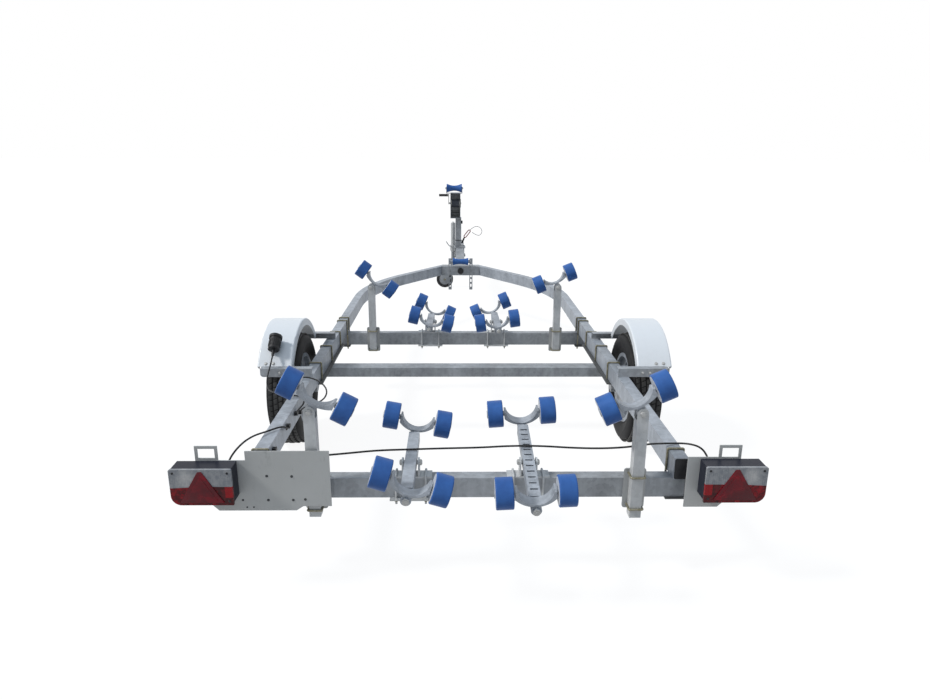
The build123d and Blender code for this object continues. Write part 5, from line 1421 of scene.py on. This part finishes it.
@dataclass
class Wiring:
    """The trailer's cables, their plug and glands, and the breakaway cable."""

    layout: Layout
    nodes: Nodes
    plug_turn: float = 51.0
    plug_x: float = -0.907
    plug_reach: float = 0.3936
    plug_half: float = 0.045
    plug_ribs: int = 20
    gland: Triple = (0.845, -0.044, 0.430)

    def run(self, *points: Triple) -> list[Vector]:
        """A route from points that are given by their distance ahead of the rear member."""
        return [self.layout.ahead(*point) for point in points]

    def plug_frame(self) -> tuple[Vector, Vector]:
        """The plug's middle and its axis."""
        turn = math.radians(self.plug_turn)
        middle = Vector((
            self.plug_x, self.layout.wheel_y - self.plug_reach * math.cos(turn),
            self.layout.wheel_radius + self.plug_reach * math.sin(turn),
        ))
        return middle, Vector((0.0, math.sin(turn), math.cos(turn)))

    def cables(self) -> None:
        """The four runs of the wiring."""
        clip, gland = -0.713, 0.430
        cross = self.run(
            (clip, 0.12, 0.432), (clip, 0.086, 0.432), (-0.692, 0.056, 0.442),
            (-0.636, 0.043, 0.447), (-0.54, 0.038, 0.449), (-0.44, 0.052, 0.452),
            (-0.33, 0.07, 0.4555), (-0.206, 0.08, 0.4546), (-0.09, 0.083, 0.457),
            (0.04, 0.084, 0.459), (0.15, 0.088, 0.464), (0.26, 0.086, 0.4645),
            (0.37, 0.072, 0.463), (0.47, 0.046, 0.472), (0.56, 0.024, 0.487), (0.64, 0.04, 0.492),
            (0.7, 0.084, 0.474), (0.752, 0.108, 0.464), (0.798, 0.088, 0.472),
            (0.828, 0.044, 0.478), (0.843, 0.014, 0.458), (0.845, -0.012, gland),
            (0.845, -0.044, gland),
        )
        left = self.run(
            (-0.845, -0.044, gland), (-0.845, -0.012, gland), (-0.838, 0.026, 0.456),
            (-0.818, 0.084, 0.476), (-0.794, 0.15, 0.478), (-0.762, 0.214, 0.467),
            (-0.716, 0.252, 0.472), (-0.698, 0.284, 0.452), (clip, 0.308, 0.432),
            (clip, 0.34, 0.432),
        )
        loop = self.run(
            (-0.777, 0.77, 0.446), (-0.777, 0.798, 0.446), (-0.777, 0.82, 0.468),
            (-0.746, 0.832, 0.474), (-0.7, 0.822, 0.468), (-0.656, 0.794, 0.454),
            (-0.628, 0.75, 0.434), (-0.634, 0.704, 0.414), (-0.664, 0.664, 0.407),
            (-0.696, 0.63, 0.407), (clip, 0.6, 0.408), (clip, 0.57, 0.408),
        )
        middle, axis = self.plug_frame()
        tail = middle - axis * self.plug_half
        plug = [tail, tail - axis * 0.030] + self.run(
            (-0.911, 0.858, 0.510), (-0.917, 0.828, 0.477), (-0.912, 0.792, 0.452),
            (-0.892, 0.738, 0.446), (-0.856, 0.684, 0.452), (-0.808, 0.64, 0.462),
            (-0.752, 0.606, 0.467), (-0.704, 0.598, 0.465), (-0.692, 0.56, 0.448),
            (clip, 0.53, 0.43), (clip, 0.5, 0.43),
        )
        for cable in (
            Cable("cross_cable", cross, 1.753), Cable("left_lamp_cable", left, 0.446),
            Cable("rail_loop_cable", loop, 0.452),
            Cable("plug_cable", plug, 0.582, with_pieces=[self.nodes["plug"]]),
        ):
            cable.build("wiring_cables")

    def breakaway(self) -> None:
        """The thin wire loop, its red snap hook and its black sleeve."""
        at = 5.140
        foot = self.layout.ahead(0.0253, at, 0.5)
        top = self.layout.ahead(0.05, at, 0.56)
        hook_top = self.layout.ahead(0.108, at + 0.006, 0.634)
        sleeve = Bench.turned(
            [(0.0085, 0.0), (0.0090, 0.003), (0.0090, 0.050), (0.0072, 0.058), (0.0050, 0.0645)], 20
        )
        sleeve = Bench.fit(
            sleeve, [stand(foot, top - foot)], "breakaway_sleeve", SOFT_BLACK, "frame", "black_cable"
        )
        run = hook_top - top
        hook = self.snap_hook(run.length * 0.5 - 0.001, 0.0125, 0.0048)
        across = run.normalized()
        normal = across.cross(UP).normalized()
        turn = Matrix((across, normal.cross(across), normal)).transposed().to_4x4()
        place = Matrix.Translation((top + hook_top) / 2) @ turn
        hook = Bench.fit(hook, [place], "breakaway_hook", RED_PLASTIC, "frame", "black_cable", 60.0)
        loop = self.run(
            (0.108, at + 0.006, 0.634), (0.138, at + 0.008, 0.662), (0.18, at + 0.010, 0.676),
            (0.222, at + 0.010, 0.66), (0.24, at + 0.008, 0.618), (0.216, at + 0.004, 0.578),
            (0.172, at - 0.002, 0.584), (0.132, at - 0.008, 0.612),
        )
        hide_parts("breakaway_cable")
        Cable("breakaway_wire", loop, 0.304, 0.0025, [hook]).build("breakaway_cable")

    @staticmethod
    def snap_hook(half_length: float, half_width: float, rod: float) -> bpy.types.Object:
        """A closed oval ring of round rod, lying in XY.

        Args:
            half_length: Half its length along X.
            half_width: Half its width.
            rod: The rod's radius.

        Returns:
            The ring.
        """
        Bench.clear()
        bpy.ops.mesh.primitive_torus_add(
            major_segments=32, minor_segments=10, major_radius=half_width, minor_radius=rod
        )
        ring = bpy.context.object
        stretch = half_length - half_width
        for vertex in ring.data.vertices:
            vertex.co.x += math.copysign(stretch, vertex.co.x) if abs(vertex.co.x) > 1e-5 else 0.0
        return ring

    def plug_and_glands(self) -> None:
        """Ribs on the plug's collar and tapered glands where cables leave the lamps."""
        middle, axis = self.plug_frame()
        put(self.nodes["plug"], BLACK)
        put(self.nodes["cable_fittings"], BLACK)
        rib = Bench.plate(rounded(0.0016, 0.0022, 0.0010), 0.034, 0.0005)
        places = []
        out = Matrix.Translation((0.0272, 0.0, -0.017))
        for index in range(self.plug_ribs):
            turn = Matrix.Rotation(math.tau * index / self.plug_ribs, 4, "Z")
            places.append(stand(middle, axis) @ turn @ out)
        Bench.fit(rib, places, "plug_ribs", BLACK, "frame", "black_plastic")
        cone = Bench.turned([(0.0080, -0.001), (0.0078, 0.004), (0.0052, 0.022), (0.0046, 0.026)], 18)
        x, distance, height = self.gland
        feet = [stand(self.layout.ahead(side * x, distance, height), FORWARD) for side in SIDES]
        feet.append(stand(middle - axis * self.plug_half, -axis))
        Bench.fit(cone, feet, "cable_glands", SOFT_BLACK, "frame", "black_cable", 50.0)

    def build(self) -> None:
        """Makes the cables first, then what is on them."""
        self.cables()
        self.breakaway()
        self.plug_and_glands()


# ---------------------------------------------------------------- the studio
@dataclass
class Studio:
    """Camera, pale floor and plain soft light."""

    layout: Layout
    focal_px: float = 691.28
    frame_px: float = 930.0
    position: Triple = (-0.0504, -2.2098, 1.5141)
    pitch: float = 16.660
    yaw: float = 0.876
    roll: float = 0.260
    floor_size: float = 120.0
    floor_drop: float = 0.0005

    def camera(self) -> None:
        """The camera, at the reference view."""
        data = bpy.data.cameras.new("view")
        data.sensor_width = 36.0
        data.lens = self.focal_px / self.frame_px * data.sensor_width
        data.clip_end = 200.0
        camera = bpy.data.objects.new("view", data)
        bpy.context.scene.collection.objects.link(camera)
        x, y, z = self.position
        camera.matrix_world = (
            Matrix.Translation(self.layout.ahead(x, y, z))
            @ Matrix.Rotation(-math.radians(self.yaw), 4, "Z")
            @ Matrix.Rotation(math.pi / 2 - math.radians(self.pitch), 4, "X")
            @ Matrix.Rotation(math.radians(self.roll), 4, "Z")
        )
        bpy.context.scene.camera = camera

    def floor(self) -> None:
        """The pale floor, which isn't part of the trailer."""
        Bench.clear()
        bpy.ops.mesh.primitive_plane_add(size=self.floor_size, location=(0, 0, -self.floor_drop))
        floor = bpy.context.object
        floor.name = "floor"
        bpy.ops.object.transform_apply(location=True)
        floor.data.materials.append(Paper().material())

    def light(self) -> None:
        """Soft light from above and a white surround."""
        world = bpy.data.worlds.new("surround")
        bpy.context.scene.world = world
        tree = Tree(world)
        level, above, white = (
            tree.node("ShaderNodeBackground", {}, {"Color": (*tint, 1.0), "Strength": strength})
            for tint, strength in (
                ((0.90, 0.93, 1.0), 0.20), ((0.60, 0.78, 1.0), 0.62), ((1.0, 1.0, 1.0), 1.0),
            )
        )
        height = tree.axes(tree.node("ShaderNodeTexCoord", {}, {}, "Generated"))[2]
        sky = tree.blend(height.ramp(0.10, 0.80, "LINEAR"), level, above)
        tree.surface(tree.blend(tree.direct(), sky, white))
        for name, energy, spread, turn in (
            ("key", 2.2, 10.0, (8.0, -44.0, 0.0)), ("fill", 0.15, 60.0, (66.0, 10.0, 0.0)),
        ):
            data = bpy.data.lights.new(name, "SUN")
            data.energy = energy
            data.angle = math.radians(spread)
            lamp = bpy.data.objects.new(name, data)
            lamp.rotation_euler = tuple(math.radians(angle) for angle in turn)
            bpy.context.scene.collection.objects.link(lamp)

    def build(self) -> None:
        """Sets the studio up."""
        self.camera()
        self.floor()
        self.light()
        bpy.context.scene.view_settings.view_transform = "Standard"


def main() -> None:
    """Loads the solids and dresses each sub-assembly."""
    logging.basicConfig(level=logging.INFO, format="%(name)s: %(message)s")
    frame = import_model()
    nodes, joints = frame["nodes"], frame["joints"]
    layout = Layout(rear=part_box("cross_members")[0].y)
    Studio(layout).build()
    Wiring(layout, nodes).build()
    SteelFrame(layout, nodes).build()
    put(nodes["rail_clamps"], ClampFinish("rail_clamp_finish", 2, CLAMP_BANDS, CLAMP_PLATE))
    behind, before = POST_BAND
    plates = tuple((y - behind, y + before) for y in (layout.rear, layout.front))
    put(nodes["post_clamps"], ClampFinish("post_clamp_finish", 1, plates, POST_PLATE))
    Fasteners(layout).build()
    Rollers(nodes, joints).build()
    RoadWheels(layout).build()
    Mudguards(layout, nodes).build()
    RearLamps(layout, nodes).build()
    WinchAndNose(layout, nodes).build()


if __name__ == "__main__":
    main()
